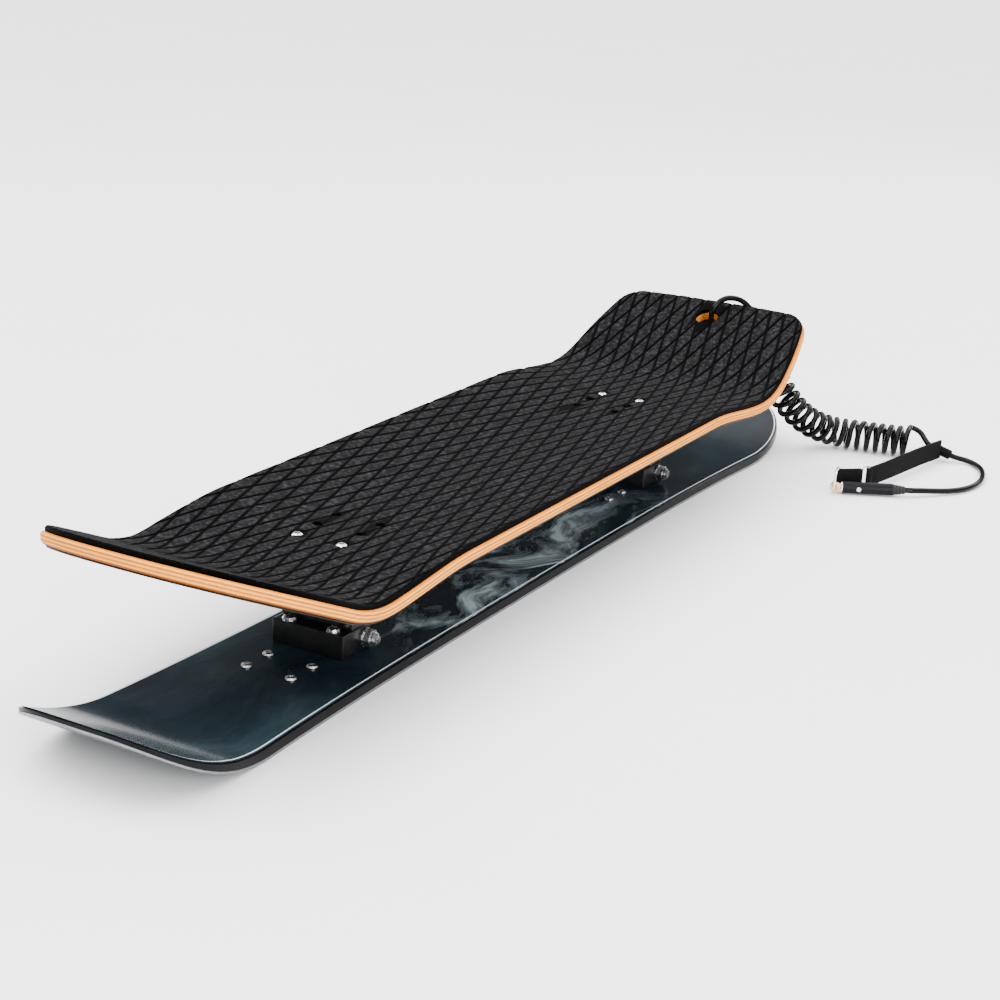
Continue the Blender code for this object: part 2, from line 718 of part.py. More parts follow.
def make_truck(end, bolt_y, deck_y):
    front = bolt_y - TRUCK_BOLT_INSET
    back = front + TRUCK_LENGTH
    half = TRUCK_WIDTH / 2
    inner = half - CHEEK_THICKNESS
    ledge = front + LEDGE_LENGTH
    cross_y = ledge + CROSS_BOLT_BACK
    # Lower bracket: ledge in front, then a channel that is open at the back
    lower = box(end + "_lower_bracket", (-half, front, TRUCK_BASE), (half, back, LEDGE_TOP),
                bevel=BRACKET_BEVEL)
    channel = box(end + "_channel", (-inner, ledge, FLOOR_TOP), (inner, back + 0.01, LEDGE_TOP + 0.01),
                  CUTTERS)
    hole_radius = SKI_BOLT_DIAMETER / 2 + GAP
    points = insert_points([bolt_y, bolt_y + INSERT_PITCH])
    holes = rods(end + "_ski_bolt_holes", [((x, y, 0), (x, y, 0.05), hole_radius) for x, y in points])
    seat = FLOOR_TOP - LOW_HEAD_HEIGHT - GAP
    seats = rods(end + "_head_seats", [((x, y, seat), (x, y, LEDGE_TOP), SKI_BOLT_HEAD / 2 + GAP)
                                       for x, y in points[2:]])
    cross = rods(end + "_cross_hole", [((-half - 0.01, cross_y, CROSS_Z), (half + 0.01, cross_y, CROSS_Z),
                                        CROSS_BOLT_DIAMETER / 2 + GAP)])
    cut(lower, channel, holes, seats, cross)
    finish(lower, "black_metal")
    # Upper bracket: a foot in the channel, a shoulder over the cheeks, a column and a slotted flange
    shoulder = ledge + SHOULDER_SETBACK
    upper = box(end + "_upper_bracket", (-half, shoulder, LEDGE_TOP + GAP), (half, back, SHOULDER_TOP),
                bevel=BRACKET_BEVEL)
    foot = box(end + "_foot", (-inner + GAP, shoulder + BRACKET_BEVEL, FLOOR_TOP + GAP),
               (inner - GAP, back, SHOULDER_TOP - 2 * BRACKET_BEVEL), CUTTERS)
    column = box(end + "_column", (-COLUMN_WIDTH / 2, shoulder + BRACKET_BEVEL, SHOULDER_TOP - 0.003),
                 (COLUMN_WIDTH / 2, back - 2 * BRACKET_BEVEL, FLANGE_BOTTOM + 0.003), CUTTERS)
    flange_y = front - FLANGE_LEAD
    flange = box(end + "_flange", (-half, flange_y, FLANGE_BOTTOM),
                 (half, flange_y + FLANGE_LENGTH, FLANGE_TOP), CUTTERS, BRACKET_BEVEL)
    for piece in (foot, column, flange):
        boolean(upper, piece, "UNION")
    slot_half = DECK_BOLT_DIAMETER / 2 + GAP
    slots = bmesh.new()
    for x, y in insert_points([front + SLOT_OFFSET, front + SLOT_OFFSET + DECK_HOLE_PITCH]):
        put_box(slots, (x - slot_half, y - SLOT_LENGTH / 2, FLANGE_BOTTOM - 0.01),
                (x + slot_half, y + SLOT_LENGTH / 2, DECK_UNDERSIDE + 0.001))
    slots = from_bmesh(slots, end + "_slots", CUTTERS)
    cut(upper, slots, cross)
    finish(upper, "black_metal")
    pad = box(end + "_riser_pad", (-half, flange_y, FLANGE_TOP + GAP),
              (half, flange_y + FLANGE_LENGTH, PAD_TOP))
    cut(pad, slots)
    finish(pad, "rubber")
    # Cross bolt with its head on the left and its washer and lock nut on the right
    head = turned(end + "_cross_bolt", bolt_profile(CROSS_HEAD / 2, CROSS_HEAD_HEIGHT,
                                                    CROSS_BOLT_DIAMETER / 2, cross_bolt_length()),
                  socket=(0.005, CROSS_HEAD_HEIGHT, 0.0028))
    bolt = place(head, end + "_cross_bolt", (-half - GAP, cross_y, CROSS_Z), (-1, 0, 0))
    finish(bolt, "steel", smooth=True)
    ring = turned(end + "_cross_washer", [(CROSS_BOLT_DIAMETER / 2 + GAP, CROSS_WASHER_THICKNESS),
                                          (CROSS_WASHER / 2, CROSS_WASHER_THICKNESS),
                                          (CROSS_WASHER / 2, 0), (CROSS_BOLT_DIAMETER / 2 + GAP, 0),
                                          (CROSS_BOLT_DIAMETER / 2 + GAP, CROSS_WASHER_THICKNESS)])
    washer = place(ring, end + "_cross_washer", (half + GAP, cross_y, CROSS_Z), (1, 0, 0))
    finish(washer, "steel", smooth=True)
    nut = nut_mesh(end + "_cross_nut", CROSS_NUT_WIDTH, CROSS_NUT_HEIGHT, CROSS_BOLT_DIAMETER / 2 + GAP)
    nut = place(nut, end + "_cross_nut", (half + CROSS_WASHER_THICKNESS + 2 * GAP, cross_y, CROSS_Z),
                (1, 0, 0))
    finish(nut, "steel", smooth=True)
    # Ski bolts: tall ones through the ledge, low ones sunk in the channel's floor
    plate_bottom = SKI_THICKNESS - SHEET_THICKNESS - GAP - INSERT_PLATE_THICKNESS
    for row, seat_z, head_height in (("front", LEDGE_TOP, BUTTON_HEAD_HEIGHT),
                                     ("back", seat, LOW_HEAD_HEIGHT)):
        mesh = turned(end + "_" + row + "_ski_bolt",
                      bolt_profile(SKI_BOLT_HEAD / 2, head_height, SKI_BOLT_DIAMETER / 2,
                                   seat_z - plate_bottom), socket=(0.004, head_height, 0.002))
        y = bolt_y if row == "front" else bolt_y + INSERT_PITCH
        for side, x in (("left", -BOLT_X), ("right", BOLT_X)):
            bolt = place(mesh, f"{end}_{row}_ski_bolt_{side}", (x, y, seat_z + GAP))
            finish(bolt, "steel", smooth=True)
    # Deck bolts and their nuts
    head_z = DECK_TOP + GAP
    nut_z = FLANGE_BOTTOM - GAP - DECK_NUT_HEIGHT
    length = head_z - nut_z + 0.001
    mesh = turned(end + "_deck_bolt", bolt_profile(DECK_BOLT_HEAD / 2, DECK_BOLT_HEAD_HEIGHT,
                                                   DECK_BOLT_DIAMETER / 2, length),
                  socket=(0.003, DECK_BOLT_HEAD_HEIGHT, 0.002))
    nut = nut_mesh(end + "_deck_nut", DECK_NUT_WIDTH, DECK_NUT_HEIGHT, DECK_BOLT_DIAMETER / 2 + GAP)
    for side, x in (("left", -BOLT_X), ("right", BOLT_X)):
        finish(place(mesh, f"{end}_deck_bolt_{side}", (x, deck_y, head_z)), "steel", smooth=True)
        finish(place(nut, f"{end}_deck_nut_{side}", (x, deck_y, nut_z)), "steel", smooth=True)


def cross_bolt_length():
    return TRUCK_WIDTH + CROSS_WASHER_THICKNESS + CROSS_NUT_HEIGHT + CROSS_BOLT_TIP + 3 * GAP


def bolt_profile(head, height, shank, length):
    return [(0, height), (head * 0.55, height), (head * 0.85, height * 0.72), (head, height * 0.25),
            (head, 0), (shank, 0), (shank, -length), (0, -length)]


def nut_mesh(name, width, height, hole):
    """A hexagonal nut with the round collar that holds its locking ring, bored through."""
    body = bmesh.new()
    put_rod(body, (0, 0, 0), (0, 0, height * 0.72), width / math.sqrt(3), 6)
    item = from_bmesh(body, name + "_body", CUTTERS)
    collar = bmesh.new()
    put_rod(collar, (0, 0, height * 0.3), (0, 0, height), width * 0.44, 12)
    bore = bmesh.new()
    put_rod(bore, (0, 0, -height), (0, 0, 2 * height), hole, 12)
    boolean(item, from_bmesh(collar, name + "_collar", CUTTERS), "UNION")
    cut(item, from_bmesh(bore, name + "_bore", CUTTERS))
    return baked(item, name)


def make_spare_screws():
    plate_bottom = SKI_THICKNESS - SHEET_THICKNESS - GAP - INSERT_PLATE_THICKNESS
    mesh = turned("spare_screw", bolt_profile(SPARE_HEAD / 2, SPARE_HEAD_HEIGHT, SKI_BOLT_DIAMETER / 2,
                                              SKI_THICKNESS - plate_bottom),
                  socket=(0.0035, SPARE_HEAD_HEIGHT, 0.0015))
    for end, bolt_y in (("front", FRONT_TRUCK_BOLT_Y), ("rear", REAR_TRUCK_BOLT_Y)):
        for number, (x, y) in enumerate(insert_points(insert_rows(bolt_y)[:2]), 1):
            item = place(mesh, f"{end}_spare_screw_{number}", (x, y, SKI_THICKNESS + GAP))
            finish(item, "steel", smooth=True)


# Leash

def coil_points():
    """Centre line of the coil: a helix about a curved axis, closer wound towards the ground."""
    axis = smooth_route(COIL_AXIS, 0.002)
    whole = route_length(axis)
    count = round(COIL_TURNS * COIL_POINTS_A_TURN)
    points = []
    for index in range(count + 1):
        share = index / count
        along = crowded(share) * whole
        centre, direction = point_at(axis, along)
        away = Vector((0, 0, 1)).cross(direction).normalized()
        over = direction.cross(away)
        angle = math.pi / 2 + 2 * math.pi * COIL_TURNS * (1 - share)
        points.append(centre + COIL_RADIUS * (math.cos(angle) * away + math.sin(angle) * over))
    return points


def crowded(share):
    """Where on the axis a share of the turns ends, from 0 to 1."""
    c = COIL_CROWDING
    return (math.sqrt(1 + 4 * c * (1 + c) * share) - 1) / (2 * c) if share else 0.0


def point_at(points, along):
    gone = 0.0
    for start, end in zip(points, points[1:]):
        step = (end - start).length
        if gone + step >= along or end is points[-1]:
            return start.lerp(end, (along - gone) / step), (end - start).normalized()
        gone += step


def end_heading(points):
    """Direction in which a curve leaves its first point, away from the next two."""
    return (3 * points[0] - 4 * points[1] + points[2]).normalized()


def least_gap(points, apart):
    """Least clear distance between stretches of the coil at least some points apart."""
    nearest = min((a - b).length for index, a in enumerate(points) for b in points[index + apart:])
    return nearest - CORD_DIAMETER


def connector_point(along, out=0.0, up=0.0):
    side = Vector((-SLEEVE_AXIS.y, SLEEVE_AXIS.x, 0))
    return CONNECTOR_START + SLEEVE_AXIS * along + side * out + Vector((0, 0, up))


def make_cords():
    coil = coil_points()
    run = CORD_DIAMETER
    back = end_heading(coil[:3])
    onward = end_heading(coil[:-4:-1])
    coil = [coil[0] + back * run] + coil + [coil[-1] + onward * run]
    item = tube("leash_coil", coil, CORD_DIAMETER, resolution=1)
    finish(item, "cord")
    print("leash_coil least gap to itself, mm:", round(least_gap(coil, COIL_POINTS_A_TURN // 2) * 1000, 2))
    # Lead: straight out of the stopper, through the hole, over the tail's edge, into the coil
    start = stopper_top() + tail_normal() * GAP + Vector((LEAD_OFFSET, 0, 0))
    end = coil[0] + back * GAP
    lead = smooth_route([start + tail_normal() * run, *LEAD_ROUTE, end + back * run], run)
    lead = [start, *lead, end]
    finish(tube("leash_lead", lead, CORD_DIAMETER), "cord")
    # Noose: from the coil through the strap's loop and round to the connector
    start = coil[-1] + onward * GAP
    end = connector_point(SLEEVE_LENGTH + 2 * GAP + RELIEF_LENGTH)
    loop = [STRAP_LOOP_START.lerp(STRAP_LOOP_END, share / 3) for share in range(4)]
    noose = smooth_route([start + onward * run / 2, *NOOSE_RISE, *loop, *NOOSE_SWEEP,
                          end + SLEEVE_AXIS * run], run)
    noose = [start, *noose, end]
    finish(tube("leash_noose_cord", noose, CORD_DIAMETER), "cord")
    for name, points in (("lead", lead), ("coil", coil), ("noose", noose)):
        print("leash", name, "length, m:", round(route_length(points), 4))


def stopper_top():
    top = Vector((0, LEASH_HOLE_Y, deck_top(0, LEASH_HOLE_Y)))
    return top - tail_normal() * (DECK_THICKNESS + GAP)


def make_stopper():
    r, h = STOPPER_DIAMETER / 2, STOPPER_LENGTH
    mesh = turned("leash_stopper", [(0, 0), (r * 0.85, 0), (r, -h * 0.2), (r * 0.97, -h * 0.5),
                                    (r * 0.7, -h * 0.85), (r * 0.3, -h), (0, -h)], 16)
    finish(place(mesh, "leash_stopper", stopper_top(), tail_normal()), "rubber", smooth=True)


def ring_points(width, height, corner, axis_x, axis_y, centre):
    """A closed rounded rectangle in the plane of two axes."""
    points = []
    for sign_x, sign_y, start in ((1, 1, 0), (-1, 1, 90), (-1, -1, 180), (1, -1, 270)):
        for step in range(4):
            angle = math.radians(start + 30 * step)
            x = sign_x * (width / 2 - corner) + corner * math.cos(angle)
            y = sign_y * (height / 2 - corner) + corner * math.sin(angle)
            points.append(centre + axis_x * x + axis_y * y)
    return points


def band(name, route, thickness, bottom, top):
    """Webbing that stands on its edge along a route."""
    points = [Vector((x, y, 0)) for x, y, _ in route]
    shape = bmesh.new()
    sections = []
    for index, point in enumerate(points):
        before = points[max(0, index - 1)]
        after = points[min(len(points) - 1, index + 1)]
        ahead = (after - before).normalized()
        side = Vector((-ahead.y, ahead.x, 0)) * thickness / 2
        sections.append([shape.verts.new(point + out + Vector((0, 0, height)))
                         for out, height in ((-side, bottom), (side, bottom), (side, top), (-side, top))])
    for near, far in zip(sections, sections[1:]):
        for index in range(4):
            following = (index + 1) % 4
            shape.faces.new((near[index], near[following], far[following], far[index]))
    shape.faces.new(sections[0])
    shape.faces.new(sections[-1])
    return from_bmesh(shape, name)


def make_connector():
    # Swivel eye: a round eye, a shank in the sleeve's chamber and a head that the collar keeps in
    side = Vector((-SLEEVE_AXIS.y, SLEEVE_AXIS.x, 0))
    eye_centre = connector_point(-EYE_RADIUS - EYE_WIRE)
    eye = bmesh.new()
    put_rod(eye, connector_point(-0.0022), connector_point(COLLAR_THICKNESS + 0.006), SHANK_RADIUS)
    eye = from_bmesh(eye, "leash_swivel_eye")
    loop = bmesh.new()
    put_rod(loop, eye_centre - side * EYE_WIRE, eye_centre + side * EYE_WIRE, EYE_RADIUS + EYE_WIRE, 16)
    head = bmesh.new()
    put_rod(head, connector_point(COLLAR_THICKNESS + 0.003), connector_point(COLLAR_THICKNESS + 0.007),
            SLEEVE_CHAMBER - 0.0008)
    boolean(eye, from_bmesh(loop, "eye_disc", CUTTERS), "UNION")
    boolean(eye, from_bmesh(head, "eye_head", CUTTERS), "UNION")
    cut(eye, rods("eye_hole", [(eye_centre - side * 0.01, eye_centre + side * 0.01, EYE_RADIUS - EYE_WIRE)]))
    finish(eye, "brass")
    bore = SHANK_RADIUS + SHANK_CLEARANCE
    outer = SLEEVE_CHAMBER - GAP
    lip = SLEEVE_RADIUS - 0.0008
    ring = turned("leash_swivel_collar", [(bore, 0), (lip, 0), (lip, -0.001), (outer, -0.001),
                                          (outer, -COLLAR_THICKNESS), (bore, -COLLAR_THICKNESS), (bore, 0)],
                  16)
    collar = place(ring, "leash_swivel_collar", connector_point(0), -SLEEVE_AXIS)
    finish(collar, "chrome", smooth=True)
    start = 0.001 + GAP
    body = bmesh.new()
    put_rod(body, connector_point(start), connector_point(SLEEVE_LENGTH), SLEEVE_RADIUS, 16)
    sleeve = from_bmesh(body, "leash_connector_sleeve")
    chamber = rods("sleeve_chamber", [
        (connector_point(-0.01), connector_point(SLEEVE_CHAMBER_DEPTH), SLEEVE_CHAMBER),
        (connector_point(SLEEVE_LENGTH - SLEEVE_SOCKET_DEPTH), connector_point(SLEEVE_LENGTH + 0.01),
         SLEEVE_SOCKET)])
    pin = rods("rivet_hole", [(connector_point(RIVET_BACK, -0.01), connector_point(RIVET_BACK, 0.01),
                               RIVET_RADIUS + GAP)])
    cut(sleeve, chamber, pin)
    finish(sleeve, "sidewall", smooth=True)
    reach = SLEEVE_RADIUS + GAP
    mesh = turned("leash_connector_rivet", [
        (0, reach + 0.0007), (RIVET_RADIUS, reach + 0.0007), (RIVET_RADIUS * 1.5, reach),
        (RIVET_RADIUS, reach), (RIVET_RADIUS, -reach), (RIVET_RADIUS * 1.5, -reach),
        (RIVET_RADIUS, -reach - 0.0007), (0, -reach - 0.0007)])
    finish(place(mesh, "leash_connector_rivet", connector_point(RIVET_BACK), side), "steel", smooth=True)
    # Strain relief: a spigot in the sleeve's socket, then ribs down to the cord
    spigot = SLEEVE_SOCKET - GAP
    length = RELIEF_LENGTH
    profile = [(0, SLEEVE_SOCKET_DEPTH - GAP), (spigot, SLEEVE_SOCKET_DEPTH - GAP), (spigot, 0)]
    for rib in range(RELIEF_RIBS):
        top = -length * rib / RELIEF_RIBS
        outer = RELIEF_RADIUS * (1 - 0.08 * rib)
        profile += [(outer, top), (outer, top - length * 0.15), (outer * 0.86, top - length * 0.17),
                    (outer * 0.86, top - length * 0.24)]
    profile += [(CORD_DIAMETER / 2 + 0.0004, -length + GAP), (0, -length + GAP)]
    mesh = turned("leash_strain_relief", profile, 12)
    relief = place(mesh, "leash_strain_relief", connector_point(SLEEVE_LENGTH + GAP), -SLEEVE_AXIS)
    finish(relief, "rubber", smooth=True)


def make_strap():
    side = Vector((-SLEEVE_AXIS.y, SLEEVE_AXIS.x, 0))
    up = Vector((0, 0, 1))
    # Shackle: from the swivel eye up and back to the tab
    low = CONNECTOR_START.z
    high = BAND_TOP + RING_WIRE + GAP
    tab_bar = TAB_START
    eye_centre = connector_point(-EYE_RADIUS - EYE_WIRE)
    across = Vector((tab_bar.x - eye_centre.x, tab_bar.y - eye_centre.y, 0))
    width = across.length + 0.006
    across.normalize()
    middle = Vector((tab_bar.x, tab_bar.y, (low + high) / 2)) - across * width / 2
    shackle = tube("leash_shackle", ring_points(width, high - low, RING_CORNER, across, up, middle),
                   2 * RING_WIRE, closed=True)
    finish(shackle, "chrome")
    # Tab: folded webbing between the shackle and the ring
    ahead = (TAB_END - TAB_START).normalized()
    past = BAND_THICKNESS / 2 + 0.0012
    tab = band("leash_tab", [TAB_START - ahead * past, TAB_END + ahead * past], BAND_THICKNESS, TAB_BOTTOM,
               BAND_TOP)
    spans = [((bar.x, bar.y, 0), (bar.x, bar.y, 0.04), RING_WIRE + GAP) for bar in (TAB_START, TAB_END)]
    cut(tab, rods("tab_bores", spans, 8))
    finish(tab, "webbing")
    # Ring between the tab and the strap
    strap_bar = Vector(STRAP_ROUTE[0])
    reach = strap_bar - TAB_END
    low = RING_WIRE + GAP
    centre = (strap_bar + TAB_END) / 2 + up * (low + high) / 2
    loop = ring_points(reach.length, high - low, RING_CORNER, reach.normalized(), up, centre)
    ring = tube("leash_ring", loop, 2 * RING_WIRE, closed=True)
    finish(ring, "chrome")
    # Strap: webbing on its edge, with a folded loop round the cord at its far end
    first, second = Vector(STRAP_ROUTE[0]), Vector(STRAP_ROUTE[1])
    start = first - (second - first).normalized() * past
    strap = band("leash_strap", [start, *STRAP_ROUTE[1:]], BAND_THICKNESS, STRAP_BOTTOM, BAND_TOP)
    along = (STRAP_LOOP_END - STRAP_LOOP_START).normalized()
    radius = CORD_DIAMETER / 2 + 2 * GAP
    fold = bmesh.new()
    put_rod(fold, STRAP_LOOP_START, STRAP_LOOP_END, radius + LOOP_WALL, 16)
    boolean(strap, from_bmesh(fold, "strap_fold", CUTTERS), "UNION")
    cut(strap, rods("strap_bores", [
        (STRAP_LOOP_START - along * 0.02, STRAP_LOOP_END + along * 0.02, radius),
        ((first.x, first.y, 0), (first.x, first.y, 0.04), RING_WIRE + GAP)]))
    finish(strap, "webbing")


def main():
    clear_scene()
    make_ski()
    make_spare_screws()
    make_deck()
    make_truck("front", FRONT_TRUCK_BOLT_Y, DECK_ROW_FRONT)
    make_truck("rear", REAR_TRUCK_BOLT_Y, DECK_ROW_REAR)
    make_stopper()
    make_cords()
    make_connector()
    make_strap()


main()
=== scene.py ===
# Snowskate: looks of the deck, foam, ski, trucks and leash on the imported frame.
# Metres, +Z up, -Y to the nose. The origin is on the ground, within 6 mm of the middle of the ski.

import json
import math

import bmesh
import bpy
from mathutils import Matrix, Vector


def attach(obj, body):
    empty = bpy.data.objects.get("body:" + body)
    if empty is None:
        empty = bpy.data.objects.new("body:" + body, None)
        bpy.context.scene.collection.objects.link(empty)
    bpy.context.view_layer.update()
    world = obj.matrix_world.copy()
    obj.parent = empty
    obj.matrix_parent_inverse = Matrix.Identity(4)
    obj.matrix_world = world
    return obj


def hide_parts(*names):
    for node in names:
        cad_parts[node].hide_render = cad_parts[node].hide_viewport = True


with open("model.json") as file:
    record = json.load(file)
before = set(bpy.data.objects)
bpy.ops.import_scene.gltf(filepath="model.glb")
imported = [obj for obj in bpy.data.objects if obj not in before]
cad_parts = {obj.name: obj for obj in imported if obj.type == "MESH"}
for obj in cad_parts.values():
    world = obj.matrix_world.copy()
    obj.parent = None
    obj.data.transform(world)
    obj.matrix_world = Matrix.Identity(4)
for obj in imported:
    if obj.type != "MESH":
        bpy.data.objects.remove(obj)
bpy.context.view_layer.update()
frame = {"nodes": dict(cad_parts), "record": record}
NODES = frame["nodes"]

# Camera and lights
CAMERA_AT = (0.7921, -1.4025, 0.5995)
CAMERA_TURNS = (0.5102, 1.2471, 0.0446)
CAMERA_LENS = 68.78
SENSOR_WIDTH = 36.0
CLIP_NEAR_AND_FAR = (0.05, 60.0)
FLOOR_HALF = 12.0
FLOOR_DROP = 0.0002
WORLD_STRENGTH = 4.6
# Name, place, aim, size in metres and power in watts
LAMPS = (
    ("key", (-1.2, -0.6, 2.4), (0, 0, 0.05), 2.2, 70.0),
    ("fill", (2.4, -1.7, 0.9), (0, 0, 0.08), 1.4, 95.0),
    ("back", (0.4, 2.4, 1.6), (0, 0, 0.1), 1.6, 30.0),
)

# Clearance between pieces that touch
GAP = 0.0003

# How far the drills for holes reach past what they cut
DRILL_BELOW = 0.01
DRILL_ABOVE = 0.03
DRILL_REACH = 0.02
FOAM_DRILL_BELOW = 0.002
BAR_DRILL_TOP = 0.04

# Edges of moulded, painted and metal pieces are worn where the bevelled normal leans this far
WORN_DOT = 0.80
FLAT_DOT = 0.985

# Ski
SKI_NOSE_Y = -0.547
SKI_TAIL_Y = 0.558
SKI_WAIST = 0.1366
SKI_TIP_WIDTH = 0.158
SKI_WAIST_Y = -0.035
SIDECUT_SHARE = 0.215
SKI_THICKNESS = 0.011
SKI_TIP_THICKNESS = 0.0065
NOSE_KICK_START = 0.1165
NOSE_KICK_RADIUS = 0.156
NOSE_ROUND_LENGTH = 0.075
NOSE_ROUND_POWER = 3.0
TAIL_KICK_START = 0.148
TAIL_KICK_RADIUS = 0.427
TAIL_ROUND_LENGTH = 0.126
TAIL_ROUND_POWER = 2.3
BLUNT_TIP_ANGLE = 0.2
EDGE_HEIGHT = 0.0020
EDGE_WIDTH = 0.0022
SIDEWALL_WIDTH = 0.006
SIDEWALL_CHAMFER = 0.0016
SHEET_THICKNESS = 0.0009
SHEET_INSET = 0.002
SHEET_ROWS = (0.0060, 0.0032, 0.0026, 0.0014, 0.0008)
SKI_WORN = 0.0003
NOSE_KICK_Y = SKI_NOSE_Y + NOSE_KICK_START
TAIL_KICK_Y = SKI_TAIL_Y - TAIL_KICK_START
INSERT_PITCH = 0.0275
FRONT_TRUCK_BOLT_Y = -0.277
REAR_TRUCK_BOLT_Y = 0.249
SKI_BOLT_DIAMETER = 0.006

# Deck
DECK_UNDERSIDE = 0.085
DECK_NOSE_Y = -0.504
DECK_NOSE_ROUND_Y = -0.3793
DECK_NOSE_POWER = 2.6
DECK_TAIL_Y = 0.4738
DECK_TAIL_BULGE = 0.0028
DECK_TAIL_POWER = 4
DECK_MID_WIDTH = 0.2400
DECK_REAR_WIDTH = 0.2454
DECK_MID_Y = -0.250
DECK_REAR_Y = 0.340
NOSE_TAPER = 0.010
TAIL_TAPER = 0.0185
TAIL_CORNER = 0.024
NOSE_BEND_Y = -0.340
TAIL_BEND_Y = 0.325
BEND_RADIUS = 0.120
NOSE_ANGLE = math.radians(24.9)
TAIL_ANGLE = math.radians(25.6)
CONCAVE_RISE = 0.012
CONCAVE_END_RISE = 0.002
CONCAVE_REACH = 0.118
CONCAVE_FRONT = (-0.370, -0.235)
CONCAVE_REAR = (0.205, 0.325)
CORE_THICKNESS = 0.009
VENEER_THICKNESS = 0.0012
VENEER_INSET = 0.0032
CORE_ROUND = 0.003
FOAM_THICKNESS = 0.0042
FOAM_INSET = 0.003
BOLT_X = 0.02065
DECK_ROW_FRONT = -0.268
DECK_ROW_REAR = 0.248
DECK_HOLE_PITCH = 0.027
DECK_BOLT_DIAMETER = 0.005
DECK_BOLT_HEAD = 0.011
FOAM_SPARE_HOLE = 0.008
LEASH_HOLE_DIAMETER = 0.024
LEASH_HOLE_FROM_END = 0.0281
DECK_THICKNESS = CORE_THICKNESS + GAP + VENEER_THICKNESS
DECK_TOP = DECK_UNDERSIDE + DECK_THICKNESS
LEASH_HOLE_Y = DECK_TAIL_Y + DECK_TAIL_BULGE - LEASH_HOLE_FROM_END

# Foam pattern: long diamonds between V grooves
CELL_HALF_WIDTH = 0.0079
CELL_HALF_LENGTH = 0.0298
CELL_PHASE = (0.0013, 0.0207)
GROOVE_FLOOR = 0.0029
GROOVE_HALF_WIDTH = 0.0022
PAD_DRAW = 0.0003
PAD_SINK = 0.0006
PAD_SHOULDER = (0.55, 0.80)
PAD_MARGIN = 0.02
SMALLEST_PAD = 0.00002
FOAM_ROUND = 0.0012

# Leash
CORD_DIAMETER = 0.006
COIL_RADIUS = 0.0135
COIL_TURNS = 18.75
COIL_POINTS_A_TURN = 12
COIL_CROWDING = 0.25
AXIS_SPACING = 0.002
LEAD_SPACING = 0.0055
NOOSE_SPACING = 0.0072
HANDLE_DIVISOR = 2.9
COIL_AXIS = (
    (0.0527, 0.4841, 0.1084), (0.0627, 0.4879, 0.0867), (0.0733, 0.4935, 0.0662), (0.0827, 0.5011, 0.0507),
    (0.0929, 0.5110, 0.0370), (0.1047, 0.5240, 0.0261), (0.1188, 0.5365, 0.0193), (0.1363, 0.5450, 0.0168),
    (0.1555, 0.5485, 0.0168), (0.1780, 0.5530, 0.0168), (0.2000, 0.5585, 0.0168),
)
LEAD_ROUTE = (
    (0.0045, 0.4495, 0.1390), (0.0055, 0.4463, 0.1465), (0.0072, 0.4455, 0.1542), (0.0108, 0.4500, 0.1615),
    (0.0164, 0.4580, 0.1655), (0.0238, 0.4680, 0.1645), (0.0292, 0.4772, 0.1595), (0.0340, 0.4830, 0.1530),
    (0.0398, 0.4889, 0.1470), (0.0475, 0.4955, 0.1395), (0.0540, 0.5015, 0.1320), (0.0561, 0.5040, 0.1252),
    (0.0555, 0.5036, 0.1176),
)
LEAD_OFFSET = 0.0045
NOOSE_RISE = (
    (0.1976, 0.5695, 0.0297), (0.2005, 0.5725, 0.0284), (0.2056, 0.5744, 0.0260), (0.2117, 0.5730, 0.0222),
    (0.2145, 0.5707, 0.0197), (0.2184, 0.5676, 0.0168),
)
STRAP_LOOP_START = Vector((0.2240, 0.5668, 0.0140))
STRAP_LOOP_END = Vector((0.2460, 0.5668, 0.0075))
NOOSE_SWEEP = (
    (0.2530, 0.5680, 0.0057), (0.2610, 0.5700, 0.0044), (0.2700, 0.5675, 0.0036), (0.2790, 0.5595, 0.0034),
    (0.2870, 0.5470, 0.0034), (0.2930, 0.5305, 0.0034), (0.2968, 0.5120, 0.0034), (0.2970, 0.4935, 0.0034),
    (0.2935, 0.4765, 0.0034), (0.2870, 0.4620, 0.0036), (0.2785, 0.4500, 0.0041), (0.2690, 0.4395, 0.0050),
    (0.2600, 0.4300, 0.0060),
)
CONNECTOR_START = Vector((0.188, 0.387, 0.007))
CONNECTOR_HEADING = math.radians(27.8)
SLEEVE_LENGTH = 0.052
RELIEF_LENGTH = 0.013
SLEEVE_AXIS = Vector((math.cos(CONNECTOR_HEADING), math.sin(CONNECTOR_HEADING), 0))
RING_WIRE = 0.0014
BAND_TOP = 0.0234
TAB_BOTTOM = 0.0086
STRAP_BOTTOM = 0.0036
BAND_HALF = 0.0017
FOLD_HALF = 0.0023
BAND_ROUND = 0.0006
LOOP_WALL = 0.0017
LOOP_ROUND = 0.0005
RIBBON_SPACING = 0.0008
STRAP_SPACING = 0.004
SWELL_START = 0.002
SWELL_END = 0.007
THINNEST_END = 0.0003
THINNEST_BAND = 0.0002
STITCH_ROWS = (0.0075, 0.0105)
STITCHES_A_ROW = 6
STITCH_LENGTH = 0.0017
STITCH_MARGIN = 0.002
THREAD_RADIUS = 0.00028
TAB_START = Vector((0.1815, 0.3935, 0.0))
TAB_END = Vector((0.2000, 0.4090, 0.0))
STRAP_ROUTE = (
    (0.2055, 0.4165, 0.0), (0.2105, 0.437, 0.0), (0.2165, 0.468, 0.0), (0.222, 0.500, 0.0),
    (0.2275, 0.530, 0.0), (0.2320, 0.549, 0.0), (0.2350, 0.5645, 0.0),
)


# Meshes

def add_object(name, data):
    item = bpy.data.objects.new(name, data)
    bpy.context.scene.collection.objects.link(item)
    return item


